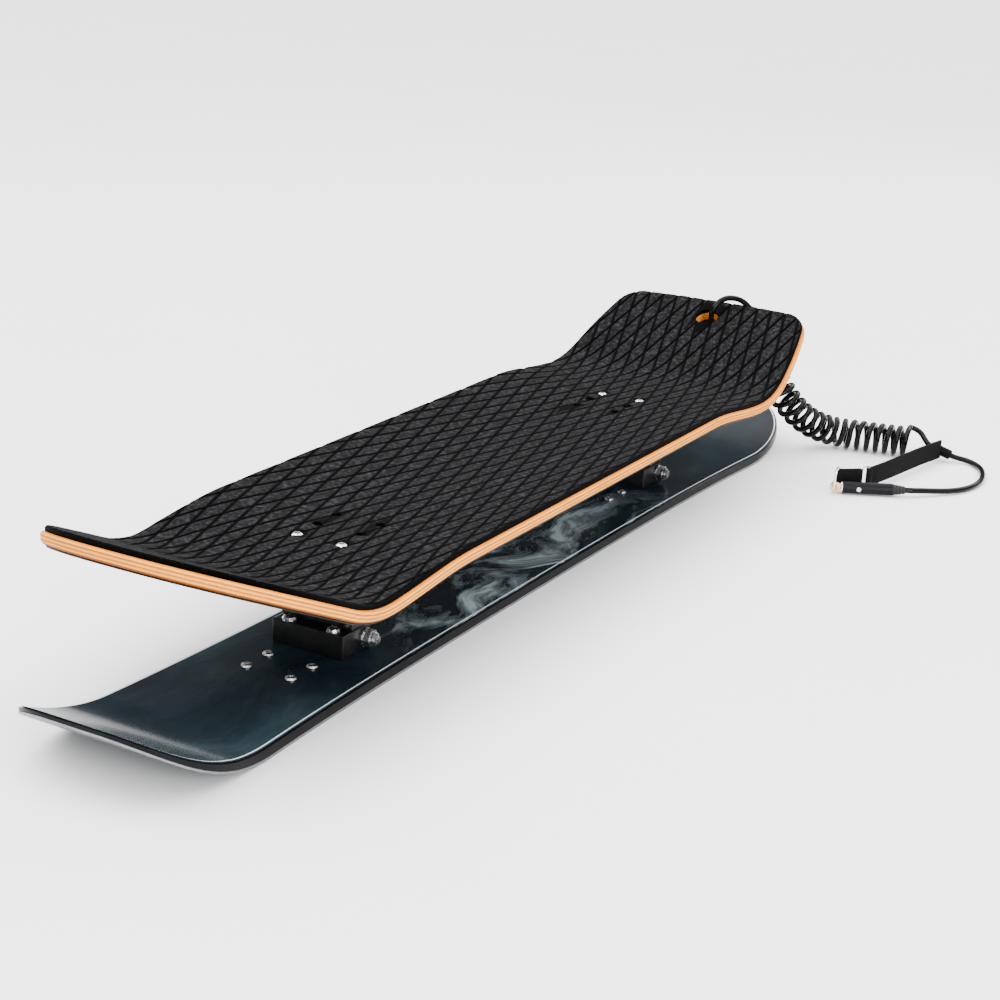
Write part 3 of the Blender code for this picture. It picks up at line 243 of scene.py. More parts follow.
def from_bmesh(shape, name, smooth_angle=None):
    mesh = bpy.data.meshes.new(name)
    shape.to_mesh(mesh)
    shape.free()
    item = add_object(name, mesh)
    if smooth_angle is not None:
        mesh.shade_smooth()
        mesh.set_sharp_from_angle(angle=math.radians(smooth_angle))
    return item


def cut(item, *cutters):
    """Cuts closed shapes out of an object and removes them."""
    for cutter in cutters:
        change = item.modifiers.new("cut", "BOOLEAN")
        change.operation = "DIFFERENCE"
        change.solver = "EXACT"
        change.object = cutter
    view = bpy.context.evaluated_depsgraph_get()
    mesh = bpy.data.meshes.new_from_object(item.evaluated_get(view))
    item.modifiers.clear()
    mesh.set_sharp_from_angle(angle=math.radians(40))
    item.data = mesh
    for cutter in cutters:
        bpy.data.objects.remove(cutter, do_unlink=True)


def join(target, other):
    """Adds another object's mesh to the target and removes that object."""
    shape = bmesh.new()
    shape.from_mesh(target.data)
    shape.from_mesh(other.data)
    shape.to_mesh(target.data)
    shape.free()
    bpy.data.objects.remove(other, do_unlink=True)


def put_rod(shape, start, end, radius, sides=32):
    start, end = Vector(start), Vector(end)
    turn = Vector((0, 0, 1)).rotation_difference(end - start).to_matrix().to_4x4()
    place = Matrix.Translation((start + end) / 2) @ turn
    bmesh.ops.create_cone(shape, cap_ends=True, segments=sides, radius1=radius, radius2=radius,
                          depth=(end - start).length, matrix=place)


def bridge(shape, loops):
    """Faces between closed loops of equally many points."""
    for near, far in zip(loops, loops[1:]):
        for index in range(len(near)):
            following = (index + 1) % len(near)
            shape.faces.new((near[index], near[following], far[following], far[index]))


def spread(low, high, count):
    """Evenly spaced values from low up to, but without, high."""
    return [low + (high - low) * index / count for index in range(count)]


def smoothstep(low, high, value):
    t = min(1.0, max(0.0, (value - low) / (high - low)))
    return t * t * (3 - 2 * t)


def smooth_route(points, spacing):
    """Points a spacing apart on a Catmull-Rom curve through the route's own points."""
    route = [Vector(point) for point in points]
    ends = [2 * route[0] - route[1], *route, 2 * route[-1] - route[-2]]
    fine = []
    for index in range(len(route) - 1):
        before, start, end, after = ends[index:index + 4]
        for step in range(12):
            t = step / 12
            fine.append(0.5 * (2 * start + (end - before) * t
                               + (2 * before - 5 * start + 4 * end - after) * t * t
                               + (3 * start - before - 3 * end + after) * t ** 3))
    fine.append(route[-1])
    return even_points(fine, spacing)


def even_points(fine, spacing):
    lengths = [0.0]
    for start, end in zip(fine, fine[1:]):
        lengths.append(lengths[-1] + (end - start).length)
    count = max(2, round(lengths[-1] / spacing))
    out, piece = [], 0
    for index in range(count + 1):
        wanted = lengths[-1] * index / count
        while piece < len(fine) - 2 and lengths[piece + 1] < wanted:
            piece += 1
        span = lengths[piece + 1] - lengths[piece]
        share = (wanted - lengths[piece]) / span
        out.append(fine[piece].lerp(fine[piece + 1], share))
    return out


# Node materials

def put(tree, kind, inputs=(), **settings):
    """Adds a shader node; an input is given a value or another node's output."""
    made = tree.nodes.new("ShaderNode" + kind)
    for name, value in settings.items():
        setattr(made, name, value)
    for socket, value in dict(inputs).items():
        if isinstance(value, bpy.types.NodeSocket):
            tree.links.new(value, made.inputs[socket])
        else:
            made.inputs[socket].default_value = value
    return made


def start_look(name, **constants):
    """Constants go on the shader's own sockets: (material, node tree, object coordinates)."""
    look = bpy.data.materials.new(name)
    look.use_nodes = True
    tree = look.node_tree
    shader = tree.nodes["Principled BSDF"]
    for socket, value in constants.items():
        shader.inputs[socket.replace("_", " ")].default_value = value
    return look, tree, put(tree, "TexCoord").outputs["Object"]


def finish(look, colour, rough, normal):
    tree = look.node_tree
    shader = tree.nodes["Principled BSDF"]
    for socket, value in (("Base Color", colour), ("Roughness", rough), ("Normal", normal)):
        if value is not None:
            tree.links.new(value, shader.inputs[socket])
    return look


def stretched(tree, where, scale, turn=(0, 0, 0)):
    return put(tree, "Mapping", {"Vector": where, "Scale": scale, "Rotation": turn}).outputs[0]


def noise(tree, where, scale, detail=4.0, roughness=0.5, distortion=0.0):
    return put(tree, "TexNoise", {"Vector": where, "Scale": scale, "Detail": detail,
                                  "Roughness": roughness, "Distortion": distortion}).outputs["Fac"]


def ramp(tree, value, *stops):
    """Colours at positions from 0 to 1; a single number stands for a grey."""
    made = put(tree, "ValToRGB", {"Fac": value})
    elements = made.color_ramp.elements
    while len(elements) < len(stops):
        elements.new(0.5)
    for element, (position, colour) in zip(elements, stops):
        element.position = position
        shade = (colour,) * 3 if isinstance(colour, (int, float)) else colour
        element.color = (*shade, 1.0)
    return made.outputs["Color"]


def mixed(tree, factor, first, second, how="MIX"):
    first, second = [(*value, 1.0) if isinstance(value, tuple) else value for value in (first, second)]
    made = put(tree, "Mix", {0: factor, 6: first, 7: second}, data_type="RGBA", blend_type=how)
    return made.outputs[2]


def math_of(tree, how, first, second=0.0):
    return put(tree, "Math", {0: first, 1: second}, operation=how).outputs[0]


def bump(tree, height, distance, strength=1.0, under=None):
    inputs = {"Height": height, "Distance": distance, "Strength": strength}
    if under is not None:
        inputs["Normal"] = under
    return put(tree, "Bump", inputs).outputs[0]


def worn_edges(tree, radius):
    """From 0 on flat faces to 1 on outside edges and corners."""
    bevel = put(tree, "Bevel", {"Radius": radius}, samples=6).outputs[0]
    flat = put(tree, "NewGeometry").outputs["Normal"]
    dot = put(tree, "VectorMath", {0: bevel, 1: flat}, operation="DOT_PRODUCT").outputs["Value"]
    return put(tree, "MapRange", {0: dot, 1: FLAT_DOT, 2: WORN_DOT, 3: 0.0, 4: 1.0}).outputs[0]


def wood_look():
    look, tree, where = start_look("maple", Specular_IOR_Level=0.04)
    depth = put(tree, "Attribute", attribute_name="ply").outputs["Fac"]
    wander = noise(tree, stretched(tree, where, (14, 3.0, 14)), 1.0, 2.0)
    shifted = math_of(tree, "ADD", depth, math_of(tree, "MULTIPLY", wander, 0.035))
    plies = ramp(tree, shifted, (0.0, (0.62, 0.17, 0.012)), (0.13, (0.68, 0.20, 0.016)),
                 (0.15, (0.88, 0.36, 0.045)), (0.27, (0.90, 0.38, 0.05)), (0.29, (0.46, 0.12, 0.010)),
                 (0.42, (0.56, 0.16, 0.014)), (0.44, (0.90, 0.37, 0.045)), (0.57, (0.88, 0.36, 0.045)),
                 (0.59, (0.48, 0.13, 0.010)), (0.71, (0.62, 0.19, 0.016)), (0.73, (0.90, 0.38, 0.05)),
                 (0.86, (0.80, 0.31, 0.035)), (0.88, (0.30, 0.07, 0.008)), (0.955, (0.26, 0.06, 0.007)))
    streaks = noise(tree, stretched(tree, where, (420, 26, 900)), 1.0, 5.0, 0.6)
    grain = ramp(tree, streaks, (0.25, 0.50), (0.55, 0.95), (0.8, 1.1))
    blotches = ramp(tree, noise(tree, where, 22.0, 3.0), (0.3, 0.90), (0.7, 1.05))
    toned = mixed(tree, 0.75, mixed(tree, 0.6, plies, grain, "MULTIPLY"), blotches, "MULTIPLY")
    return finish(look, toned, ramp(tree, streaks, (0.2, 0.62), (0.8, 0.48)),
                  bump(tree, streaks, 0.0002, 0.35))


def foam_look():
    look, tree, where = start_look("foam", Sheen_Weight=0.01, Sheen_Roughness=0.5,
                                   Specular_IOR_Level=0.02)
    cells = put(tree, "TexVoronoi", {"Vector": where, "Scale": 1500.0}).outputs["Distance"]
    fine = noise(tree, where, 1900.0, 4.0, 0.7)
    clouds = noise(tree, where, 260.0, 4.0, 0.6)
    tone = math_of(tree, "ADD", math_of(tree, "MULTIPLY", clouds, 0.55),
                   math_of(tree, "MULTIPLY", fine, 0.45))
    # Painted shade: the attribute height runs from 0 on the groove floor to 1 on the pad tops. Below 0.75 of
    # it the foam is painted near black, so the groove walls, the groove floor and the border round the pads
    # are dark as if in shade. Only the pad tops keep the speckled foam colour.
    height = put(tree, "Attribute", attribute_name="height").outputs["Fac"]
    speckled = ramp(tree, tone, (0.36, (0.0015, 0.0015, 0.0017)), (0.50, (0.006, 0.006, 0.0065)),
                    (0.64, (0.032, 0.032, 0.035)))
    colour = mixed(tree, ramp(tree, height, (0.75, 0.03), (1.0, 1.0)), (0.0, 0.0, 0.0), speckled)
    rough = ramp(tree, clouds, (0.3, 0.78), (0.7, 0.92))
    coarse = bump(tree, noise(tree, where, 420.0, 4.0, 0.65), 0.0006, 0.6)
    return finish(look, colour, rough, bump(tree, cells, 0.00035, 0.6, coarse))


def stained_ply_look():
    look, tree, where = start_look("black_ply", Specular_IOR_Level=0.08)
    streaks = noise(tree, stretched(tree, where, (300, 14, 60)), 1.0, 6.0, 0.6)
    colour = ramp(tree, streaks, (0.3, (0.006, 0.006, 0.006)), (0.6, (0.014, 0.013, 0.013)),
                  (0.8, (0.028, 0.025, 0.023)))
    return finish(look, colour, ramp(tree, streaks, (0.2, 0.5), (0.8, 0.34)),
                  bump(tree, streaks, 0.0002, 0.5))


def topsheet_look():
    look, tree, where = start_look("topsheet", Coat_Weight=0.03, Coat_Roughness=0.05,
                                   Specular_IOR_Level=0.035)
    drift = noise(tree, where, 3.0, 3.0, 0.55)
    swirled = mixed(tree, 0.12, where, put(tree, "TexNoise", {"Vector": where, "Scale": 6.0,
                                                              "Detail": 3.0}).outputs["Color"])
    clouds = noise(tree, stretched(tree, swirled, (9, 3.2, 1), (0, 0, 0.5)), 1.0, 9.0, 0.62)
    base = ramp(tree, clouds, (0.30, (0.002, 0.003, 0.005)), (0.45, (0.005, 0.009, 0.013)),
                (0.58, (0.011, 0.021, 0.028)), (0.72, (0.028, 0.048, 0.058)))
    rough_stuff = noise(tree, stretched(tree, swirled, (30, 9, 1), (0, 0, -0.7)), 1.0, 12.0, 0.68, 0.6)
    streaks = ramp(tree, rough_stuff, (0.50, 0.0), (0.57, 0.3), (0.64, 1.0))
    place = put(tree, "SeparateXYZ", {0: where}).outputs["Y"]
    middle = put(tree, "MapRange", {0: math_of(tree, "ABSOLUTE", place), 1: 0.30, 2: 0.08, 3: 0.0, 4: 1.0},
                 interpolation_type="SMOOTHSTEP").outputs[0]
    amount = math_of(tree, "MULTIPLY", middle, put(tree, "RGBToBW", {0: streaks}).outputs[0])
    picture = mixed(tree, math_of(tree, "MULTIPLY", amount, 0.85), base, (0.46, 0.56, 0.60))
    rim = put(tree, "Attribute", attribute_name="rim").outputs["Fac"]
    line = ramp(tree, math_of(tree, "MULTIPLY", rim, 0.1), (0.42, 0.0), (0.44, 1.0), (0.53, 1.0),
                (0.55, 0.0))
    bordered = mixed(tree, line, picture, (0.72, 0.82, 0.86))
    return finish(look, bordered, ramp(tree, drift, (0.3, 0.16), (0.7, 0.26)),
                  bump(tree, noise(tree, where, 90.0, 2.0), 0.00003, 0.08))


def base_look():
    look, tree, where = start_look("ski_base", Specular_IOR_Level=0.5)
    lines = noise(tree, stretched(tree, where, (1500, 10, 200)), 1.0, 3.0, 0.6)
    clouds = noise(tree, where, 14.0, 4.0)
    colour = mixed(tree, 0.5, ramp(tree, clouds, (0.3, (0.030, 0.038, 0.046)), (0.7, (0.062, 0.073, 0.086))),
                   ramp(tree, lines, (0.3, 0.55), (0.7, 1.0)), "MULTIPLY")
    return finish(look, colour, ramp(tree, lines, (0.3, 0.42), (0.7, 0.30)),
                  bump(tree, lines, 0.0001, 0.4))


def plastic_look(name, colour, rough):
    look, tree, where = start_look(name, Specular_IOR_Level=0.07)
    fine = noise(tree, where, 900.0, 4.0, 0.6)
    broad = noise(tree, where, 35.0, 3.0)
    light = tuple(value * 1.6 + 0.002 for value in colour)
    body = mixed(tree, ramp(tree, broad, (0.35, 0.0), (0.75, 0.5)), colour, light)
    edge = math_of(tree, "MULTIPLY", worn_edges(tree, 0.0006), 0.35)
    worn = mixed(tree, edge, body, tuple(value * 3 + 0.02 for value in colour))
    return finish(look, worn, ramp(tree, broad, (0.3, rough), (0.7, min(1.0, rough + 0.12))),
                  bump(tree, fine, 0.00008, 0.5))


def metal_look(name, colour, rough, brushed=(900, 60, 900), spots=0.0):
    look, tree, where = start_look(name, Metallic=1.0)
    marks = noise(tree, stretched(tree, where, brushed), 1.0, 5.0, 0.6)
    broad = noise(tree, where, 120.0, 3.0)
    dull = tuple(value * 0.62 for value in colour)
    body = mixed(tree, ramp(tree, broad, (0.35, 0.0), (0.8, 0.6)), colour, dull)
    edge = math_of(tree, "MULTIPLY", worn_edges(tree, 0.0004), 0.3)
    bright = tuple(min(1.0, value * 1.2) for value in colour)
    whole = mixed(tree, edge, body, bright)
    if spots:
        speck = ramp(tree, noise(tree, where, 700.0, 2.0), (0.60, 0.0), (0.68, spots))
        whole = mixed(tree, speck, whole, tuple(value * 0.3 for value in colour))
    return finish(look, whole, ramp(tree, marks, (0.25, rough), (0.75, rough + 0.16)),
                  bump(tree, marks, 0.00004, 0.35))


def paint_look():
    """Black powder coat with fine orange peel, rubbed to bare grey on its edges."""
    look, tree, where = start_look("truck_paint", Coat_Weight=0.06, Coat_Roughness=0.25,
                                   Specular_IOR_Level=0.3)
    peel = noise(tree, where, 800.0, 3.0, 0.5)
    dust = noise(tree, where, 60.0, 5.0, 0.6)
    colour = ramp(tree, dust, (0.35, (0.003, 0.003, 0.0035)), (0.75, (0.008, 0.008, 0.009)))
    edge = math_of(tree, "MULTIPLY", worn_edges(tree, 0.0007),
                   ramp(tree, noise(tree, where, 260.0, 4.0), (0.45, 0.0), (0.7, 0.6)))
    worn = mixed(tree, edge, colour, (0.20, 0.20, 0.21))
    return finish(look, worn, ramp(tree, dust, (0.3, 0.30), (0.7, 0.42)), bump(tree, peel, 0.00012, 0.5))


def rubber_look(name):
    look, tree, where = start_look(name, Specular_IOR_Level=0.25, Sheen_Weight=0.01)
    fine = noise(tree, where, 1100.0, 4.0, 0.6)
    broad = noise(tree, where, 40.0, 3.0)
    colour = ramp(tree, broad, (0.35, (0.004, 0.004, 0.004)), (0.75, (0.011, 0.011, 0.012)))
    return finish(look, colour, ramp(tree, broad, (0.3, 0.55), (0.7, 0.75)), bump(tree, fine, 0.0001, 0.5))


def cord_look():
    """Glossy moulded cord with faint draw lines and a few scuffs."""
    look, tree, where = start_look("cord", Coat_Weight=0.10, Coat_Roughness=0.03,
                                   Specular_IOR_Level=0.05)
    scuffs = noise(tree, where, 210.0, 5.0, 0.65)
    colour = ramp(tree, scuffs, (0.40, (0.002, 0.002, 0.002)), (0.78, (0.007, 0.007, 0.008)))
    return finish(look, colour, ramp(tree, scuffs, (0.45, 0.10), (0.72, 0.22)),
                  bump(tree, noise(tree, where, 700.0, 3.0), 0.00005, 0.3))


def webbing_look():
    """Woven nylon: fine ribs that run along the band and across it."""
    look, tree, where = start_look("webbing", Sheen_Weight=0.01, Sheen_Roughness=0.4,
                                   Specular_IOR_Level=0.04)
    ribs = put(tree, "TexWave", {"Vector": where, "Scale": 260.0, "Distortion": 0.6, "Detail": 2.0},
               wave_type="BANDS", bands_direction="Z").outputs["Fac"]
    cross = put(tree, "TexWave", {"Vector": where, "Scale": 230.0, "Distortion": 0.8, "Detail": 2.0},
                wave_type="BANDS", bands_direction="Y").outputs["Fac"]
    weave = math_of(tree, "MULTIPLY", ribs, cross)
    fuzz = noise(tree, where, 900.0, 4.0, 0.7)
    tone = math_of(tree, "ADD", math_of(tree, "MULTIPLY", weave, 0.6), math_of(tree, "MULTIPLY", fuzz, 0.4))
    colour = ramp(tree, tone, (0.15, (0.002, 0.002, 0.002)), (0.8, (0.011, 0.011, 0.012)))
    return finish(look, colour, ramp(tree, tone, (0.2, 0.9), (0.8, 0.7)), bump(tree, tone, 0.0003, 0.8))


def core_look():
    look, tree, where = start_look("ski_core")
    streaks = noise(tree, stretched(tree, where, (220, 12, 200)), 1.0, 5.0)
    colour = ramp(tree, streaks, (0.3, (0.50, 0.34, 0.18)), (0.7, (0.74, 0.56, 0.34)))
    return finish(look, colour, None, bump(tree, streaks, 0.0002, 0.4))


LOOKS = {
    "maple": wood_look(),
    "foam": foam_look(),
    "black_ply": stained_ply_look(),
    "topsheet": topsheet_look(),
    "ski_base": base_look(),
    "ski_core": core_look(),
    "sidewall": plastic_look("sidewall", (0.003, 0.003, 0.0035), 0.22),
    "edge_steel": metal_look("edge_steel", (0.20, 0.21, 0.23), 0.30, (60, 900, 900)),
    "insert_steel": metal_look("insert_steel", (0.45, 0.45, 0.46), 0.32),
    "truck_paint": paint_look(),
    "pad_rubber": rubber_look("pad_rubber"),
    "bolt_steel": metal_look("bolt_steel", (0.70, 0.70, 0.70), 0.18, spots=0.06),
    "cord": cord_look(),
    "stopper": rubber_look("stopper"),
    "webbing": webbing_look(),
    "ring_chrome": metal_look("ring_chrome", (0.78, 0.78, 0.79), 0.08),
    "swivel_brass": metal_look("swivel_brass", (0.72, 0.47, 0.20), 0.16),
    "connector": plastic_look("connector", (0.004, 0.004, 0.005), 0.28),
    "relief_rubber": rubber_look("relief_rubber"),
}


def dress(item, slot):
    item.data.materials.clear()
    item.data.materials.append(LOOKS[slot])


def new_piece(item, slot, *replaced):
    dress(item, slot)
    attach(item, "board")
    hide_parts(*replaced)
    return item


# Ski

def ski_top(y):
    nose = max(0.0, NOSE_KICK_Y - y)
    tail = max(0.0, y - TAIL_KICK_Y)
    return SKI_THICKNESS + nose ** 2 / (2 * NOSE_KICK_RADIUS) + tail ** 2 / (2 * TAIL_KICK_RADIUS)


def ski_bottom(y):
    nose = max(0.0, (NOSE_KICK_Y - y) / NOSE_KICK_START)
    tail = max(0.0, (y - TAIL_KICK_Y) / TAIL_KICK_START)
    thin = (SKI_THICKNESS - SKI_TIP_THICKNESS) * min(1.0, max(nose, tail))
    return ski_top(y) - SKI_THICKNESS + thin


def on_ski_top(x, y, lift):
    return Vector((x, y, ski_top(y) + lift))


def on_ski_bottom(x, y, lift):
    return Vector((x, y, ski_bottom(y) + lift))


def ski_half_width(y):
    """Sidecut: narrow at the waist, widest where the rounded ends begin."""
    reach = SKI_TAIL_Y - TAIL_ROUND_LENGTH - SKI_WAIST_Y
    t = min(1.0, abs(y - SKI_WAIST_Y) / reach)
    share = SIDECUT_SHARE * t ** 2 + (1 - SIDECUT_SHARE) * t ** 4
    return (SKI_WAIST + (SKI_TIP_WIDTH - SKI_WAIST) * share) / 2


def ski_end(turn, half_width, length, power):
    """A point of a rounded end, from its blunt tip to its side: (x, distance past the side's end)."""
    angle = BLUNT_TIP_ANGLE + (math.pi / 2 - BLUNT_TIP_ANGLE) * turn
    past = max(0.0, math.cos(angle)) / math.cos(BLUNT_TIP_ANGLE)
    return half_width * math.sin(angle) ** (2 / power), length * past ** (2 / power)


def ski_side():
    """Right-hand outline from the nose to the tail, as points."""
    points = []
    nose_y = SKI_NOSE_Y + NOSE_ROUND_LENGTH
    tail_y = SKI_TAIL_Y - TAIL_ROUND_LENGTH
    steps = 33
    for index in range(steps):
        x, past = ski_end(index / steps, ski_half_width(nose_y), NOSE_ROUND_LENGTH, NOSE_ROUND_POWER)
        points.append(Vector((x, nose_y - past)))
    ys = spread(nose_y, NOSE_KICK_Y, 12) + spread(NOSE_KICK_Y, TAIL_KICK_Y, 40)
    ys += spread(TAIL_KICK_Y, tail_y, 6) + [tail_y]
    points += [Vector((ski_half_width(y), y)) for y in ys]
    for index in range(steps):
        x, past = ski_end(1 - (index + 1) / steps, ski_half_width(tail_y), TAIL_ROUND_LENGTH,
                          TAIL_ROUND_POWER)
        points.append(Vector((x, tail_y + past)))
    return points


def ski_grid(inset, columns):
    """Rows across the ski, drawn in by an inset."""
    right = ski_side()
    mirrored = [Vector((-right[0].x, right[0].y)), *right, Vector((-right[-1].x, right[-1].y))]
    grid = []
    for before, here, after in zip(mirrored, right, mirrored[2:]):
        back, ahead = (here - before).normalized(), (after - here).normalized()
        inward = Vector((-(back.y + ahead.y), back.x + ahead.x)).normalized()
        point = here + inward * inset / max(0.5, inward.dot(Vector((-back.y, back.x))))
        grid.append([(point.x * (2 * column / columns - 1), point.y) for column in range(columns + 1)])
    return grid


def ski_ring(name, section):
    """A closed ring round the ski: the section is a list of (inset, height above the base)."""
    shape = bmesh.new()
    loops = []
    for inset, height in section:
        loops.append([shape.verts.new((x, y, height(y))) for x, y in rim_of(ski_grid(inset, 2))])
    bridge(shape, loops + loops[:1])
    bmesh.ops.recalc_face_normals(shape, faces=shape.faces)
    return from_bmesh(shape, name, 40)


def edge_top(y):
    return ski_bottom(y) + EDGE_HEIGHT


def wall_top(y):
    return ski_top(y) - SHEET_THICKNESS - GAP


def wall_shoulder(y):
    return wall_top(y) - SIDEWALL_CHAMFER + SHEET_THICKNESS


def make_sheet():
    profile = [(SHEET_INSET + row, 0.0) for row in SHEET_ROWS]
    profile += [(SHEET_INSET + 0.0002, -0.0001), (SHEET_INSET, -0.0003), (SHEET_INSET, -SHEET_THICKNESS)]
    sheet = plate("ski_sheet", profile, ski_grid, on_ski_top, 4)
    radius = SKI_BOLT_DIAMETER / 2 + GAP
    rows = [bolt_y + INSERT_PITCH * step for bolt_y in (FRONT_TRUCK_BOLT_Y, REAR_TRUCK_BOLT_Y)
            for step in (-2, -1, 0, 1)]
    cut(sheet, rods("sheet_holes", drills(rows, 0, 2 * SKI_THICKNESS, radius)))
    new_piece(sheet, "topsheet", "ski_topsheet")


def make_ski():
    make_sheet()
    sole = plate("ski_sole", [(EDGE_WIDTH + GAP, EDGE_HEIGHT), (EDGE_WIDTH + GAP, 0.0)], ski_grid,
                 on_ski_bottom, 4)
    new_piece(sole, "ski_base", "ski_base")
    edges = ski_ring("ski_edges", [
        (SKI_WORN, ski_bottom), (0, lambda y: ski_bottom(y) + SKI_WORN),
        (0, lambda y: edge_top(y) - SKI_WORN), (SKI_WORN, edge_top), (EDGE_WIDTH, edge_top),
        (EDGE_WIDTH, ski_bottom)])
    new_piece(edges, "edge_steel", "ski_steel_edge")
    walls = ski_ring("ski_walls", [
        (GAP, lambda y: edge_top(y) + GAP), (GAP, lambda y: wall_shoulder(y) - SKI_WORN),
        (GAP + SKI_WORN / 2, lambda y: wall_shoulder(y) + SKI_WORN / 2),
        (SHEET_INSET - 2 * GAP, lambda y: wall_top(y) - SKI_WORN), (SHEET_INSET, wall_top),
        (SIDEWALL_WIDTH, wall_top), (SIDEWALL_WIDTH, lambda y: edge_top(y) + GAP)])
    new_piece(walls, "sidewall", "ski_sidewall")


# Deck's shape

def bend(distance, angle):
    """Height gained a distance past the start of a kick: an arc, then a straight slope."""
    reach = BEND_RADIUS * math.sin(angle)
    if distance <= 0:
        return 0.0
    if distance < reach:
        return BEND_RADIUS - math.sqrt(BEND_RADIUS ** 2 - distance ** 2)
    return BEND_RADIUS * (1 - math.cos(angle)) + (distance - reach) * math.tan(angle)


def concave(y):
    front = 1 - smoothstep(CONCAVE_FRONT[0], CONCAVE_FRONT[1], y)
    rear = smoothstep(CONCAVE_REAR[0], CONCAVE_REAR[1], y)
    return CONCAVE_RISE - (CONCAVE_RISE - CONCAVE_END_RISE) * max(front, rear)


def deck_top(x, y):
    """Height of the wood's upper face."""
    kick = bend(NOSE_BEND_Y - y, NOSE_ANGLE) + bend(y - TAIL_BEND_Y, TAIL_ANGLE)
    return DECK_TOP + kick + concave(y) * (x / CONCAVE_REACH) ** 2


def on_deck(x, y, lift):
    """A point lifted square to the deck's upper face."""
    small = 0.0005
    rise_y = (deck_top(x, y + small) - deck_top(x, y - small)) / (2 * small)
    rise_x = (deck_top(x + small, y) - deck_top(x - small, y)) / (2 * small)
    lean = math.sqrt(1 + rise_x ** 2 + rise_y ** 2)
    return Vector((x, y, deck_top(x, y) + lift * lean))


def deck_half_width(y):
    share = (y - DECK_MID_Y) / (DECK_REAR_Y - DECK_MID_Y)
    width = DECK_MID_WIDTH + (DECK_REAR_WIDTH - DECK_MID_WIDTH) * min(1.0, max(0.0, share))
    nose = max(0.0, (DECK_MID_Y - y) / (DECK_MID_Y - DECK_NOSE_Y))
    tail = max(0.0, (y - DECK_REAR_Y) / (DECK_TAIL_Y - DECK_REAR_Y))
    return width / 2 - NOSE_TAPER * nose ** 2 - TAIL_TAPER * tail ** 2


def nose_half_width(y, inset):
    """Half width where the nose rounds off: a superellipse from its side to its tip."""
    length = DECK_NOSE_ROUND_Y - DECK_NOSE_Y - inset
    share = min(1.0, max(0.0, (DECK_NOSE_ROUND_Y - y) / length))
    side = deck_half_width(max(y, DECK_NOSE_ROUND_Y)) - inset
    return side * (1 - share ** DECK_NOSE_POWER) ** (1 / DECK_NOSE_POWER)


def deck_rows(inset):
    """Rows across the deck from nose to tail: (y, half width, how far the middle bulges out)."""
    tail_y, tail_r = DECK_TAIL_Y - inset, TAIL_CORNER - inset
    nose_straight = NOSE_BEND_Y - BEND_RADIUS * math.sin(NOSE_ANGLE)
    tail_straight = TAIL_BEND_Y + BEND_RADIUS * math.sin(TAIL_ANGLE)
    rows = []
    length = DECK_NOSE_ROUND_Y - DECK_NOSE_Y - inset
    blunt = 0.04
    last = math.acos(((DECK_NOSE_ROUND_Y - nose_straight) / length) ** (DECK_NOSE_POWER / 2))
    for angle in spread(blunt, last, 24):
        y = DECK_NOSE_ROUND_Y - length * math.cos(angle) ** (2 / DECK_NOSE_POWER)
        rows.append((y, nose_half_width(y, inset), 0.0))
    ys = spread(nose_straight, NOSE_BEND_Y, 10)
    ys += spread(NOSE_BEND_Y, CONCAVE_FRONT[1], 14) + spread(CONCAVE_FRONT[1], CONCAVE_REAR[0], 12)
    ys += spread(CONCAVE_REAR[0], TAIL_BEND_Y, 14) + spread(TAIL_BEND_Y, tail_straight, 10)
    ys += spread(tail_straight, tail_y - tail_r, 8)
    for y in ys:
        rows.append((y, nose_half_width(y, inset), DECK_TAIL_BULGE * smoothstep(tail_straight, tail_y, y)))
    corner_steps = 12
    for index in range(corner_steps + 1):
        turn = math.pi / 2 * index / corner_steps
        y = tail_y - tail_r * (1 - math.sin(turn))
        rows.append((y, deck_half_width(y) - inset - tail_r * (1 - math.cos(turn)),
                     DECK_TAIL_BULGE * smoothstep(tail_straight, tail_y, y)))
    return rows


def deck_grid(inset, columns):
    """Points of the deck's plan in rows across it, drawn in by an inset."""
    grid = []
    for y, half, bulge in deck_rows(inset):
        row = []
        for column in range(columns + 1):
            across = 2 * column / columns - 1
            row.append((across * half, y + bulge * (1 - abs(across) ** DECK_TAIL_POWER)))
        grid.append(row)
    return grid


def rim_of(grid):
    """The grid's outer points in order: nose end, right side, tail end, left side."""
    last = len(grid) - 1
    rim = list(grid[0])
    rim += [grid[row][-1] for row in range(1, last)]
    rim += list(reversed(grid[last]))
    rim += [grid[row][0] for row in range(last - 1, 0, -1)]
    return rim


def plate(name, profile, grid_of, lifted, columns=20):
    """A closed plate on a plan. The profile runs from its upper face round to its lower face as
    (inset, lift). The attribute ply goes from 0 at the first lift to 1 at the last; the attribute
    rim is how many millimetres lie between a point and the first inset."""
    shape = bmesh.new()
    ply = shape.verts.layers.float.new("ply")
    rim = shape.verts.layers.float.new("rim")
    first, last = profile[0][1], profile[-1][1]

    def add(x, y, inset, lift):
        vert = shape.verts.new(lifted(x, y, lift))
        vert[ply] = (lift - first) / (last - first)
        vert[rim] = (profile[0][0] - inset) * 1000
        return vert

    def add_grid(inset, lift):
        return [[add(x, y, inset, lift) for x, y in row] for row in grid_of(inset, columns)]

    top = add_grid(*profile[0])
    bottom = add_grid(*profile[-1])
    for above, below in zip(top, top[1:]):
        for index in range(columns):
            shape.faces.new((above[index], above[index + 1], below[index + 1], below[index]))
    for above, below in zip(bottom, bottom[1:]):
        for index in range(columns):
            shape.faces.new((above[index], below[index], below[index + 1], above[index + 1]))
    loops = [rim_of(top)]
    loops += [[add(x, y, inset, lift) for x, y in rim_of(grid_of(inset, columns))]
              for inset, lift in profile[1:-1]]
    bridge(shape, [*loops, rim_of(bottom)])
    bmesh.ops.recalc_face_normals(shape, faces=shape.faces)
    return from_bmesh(shape, name, 40)


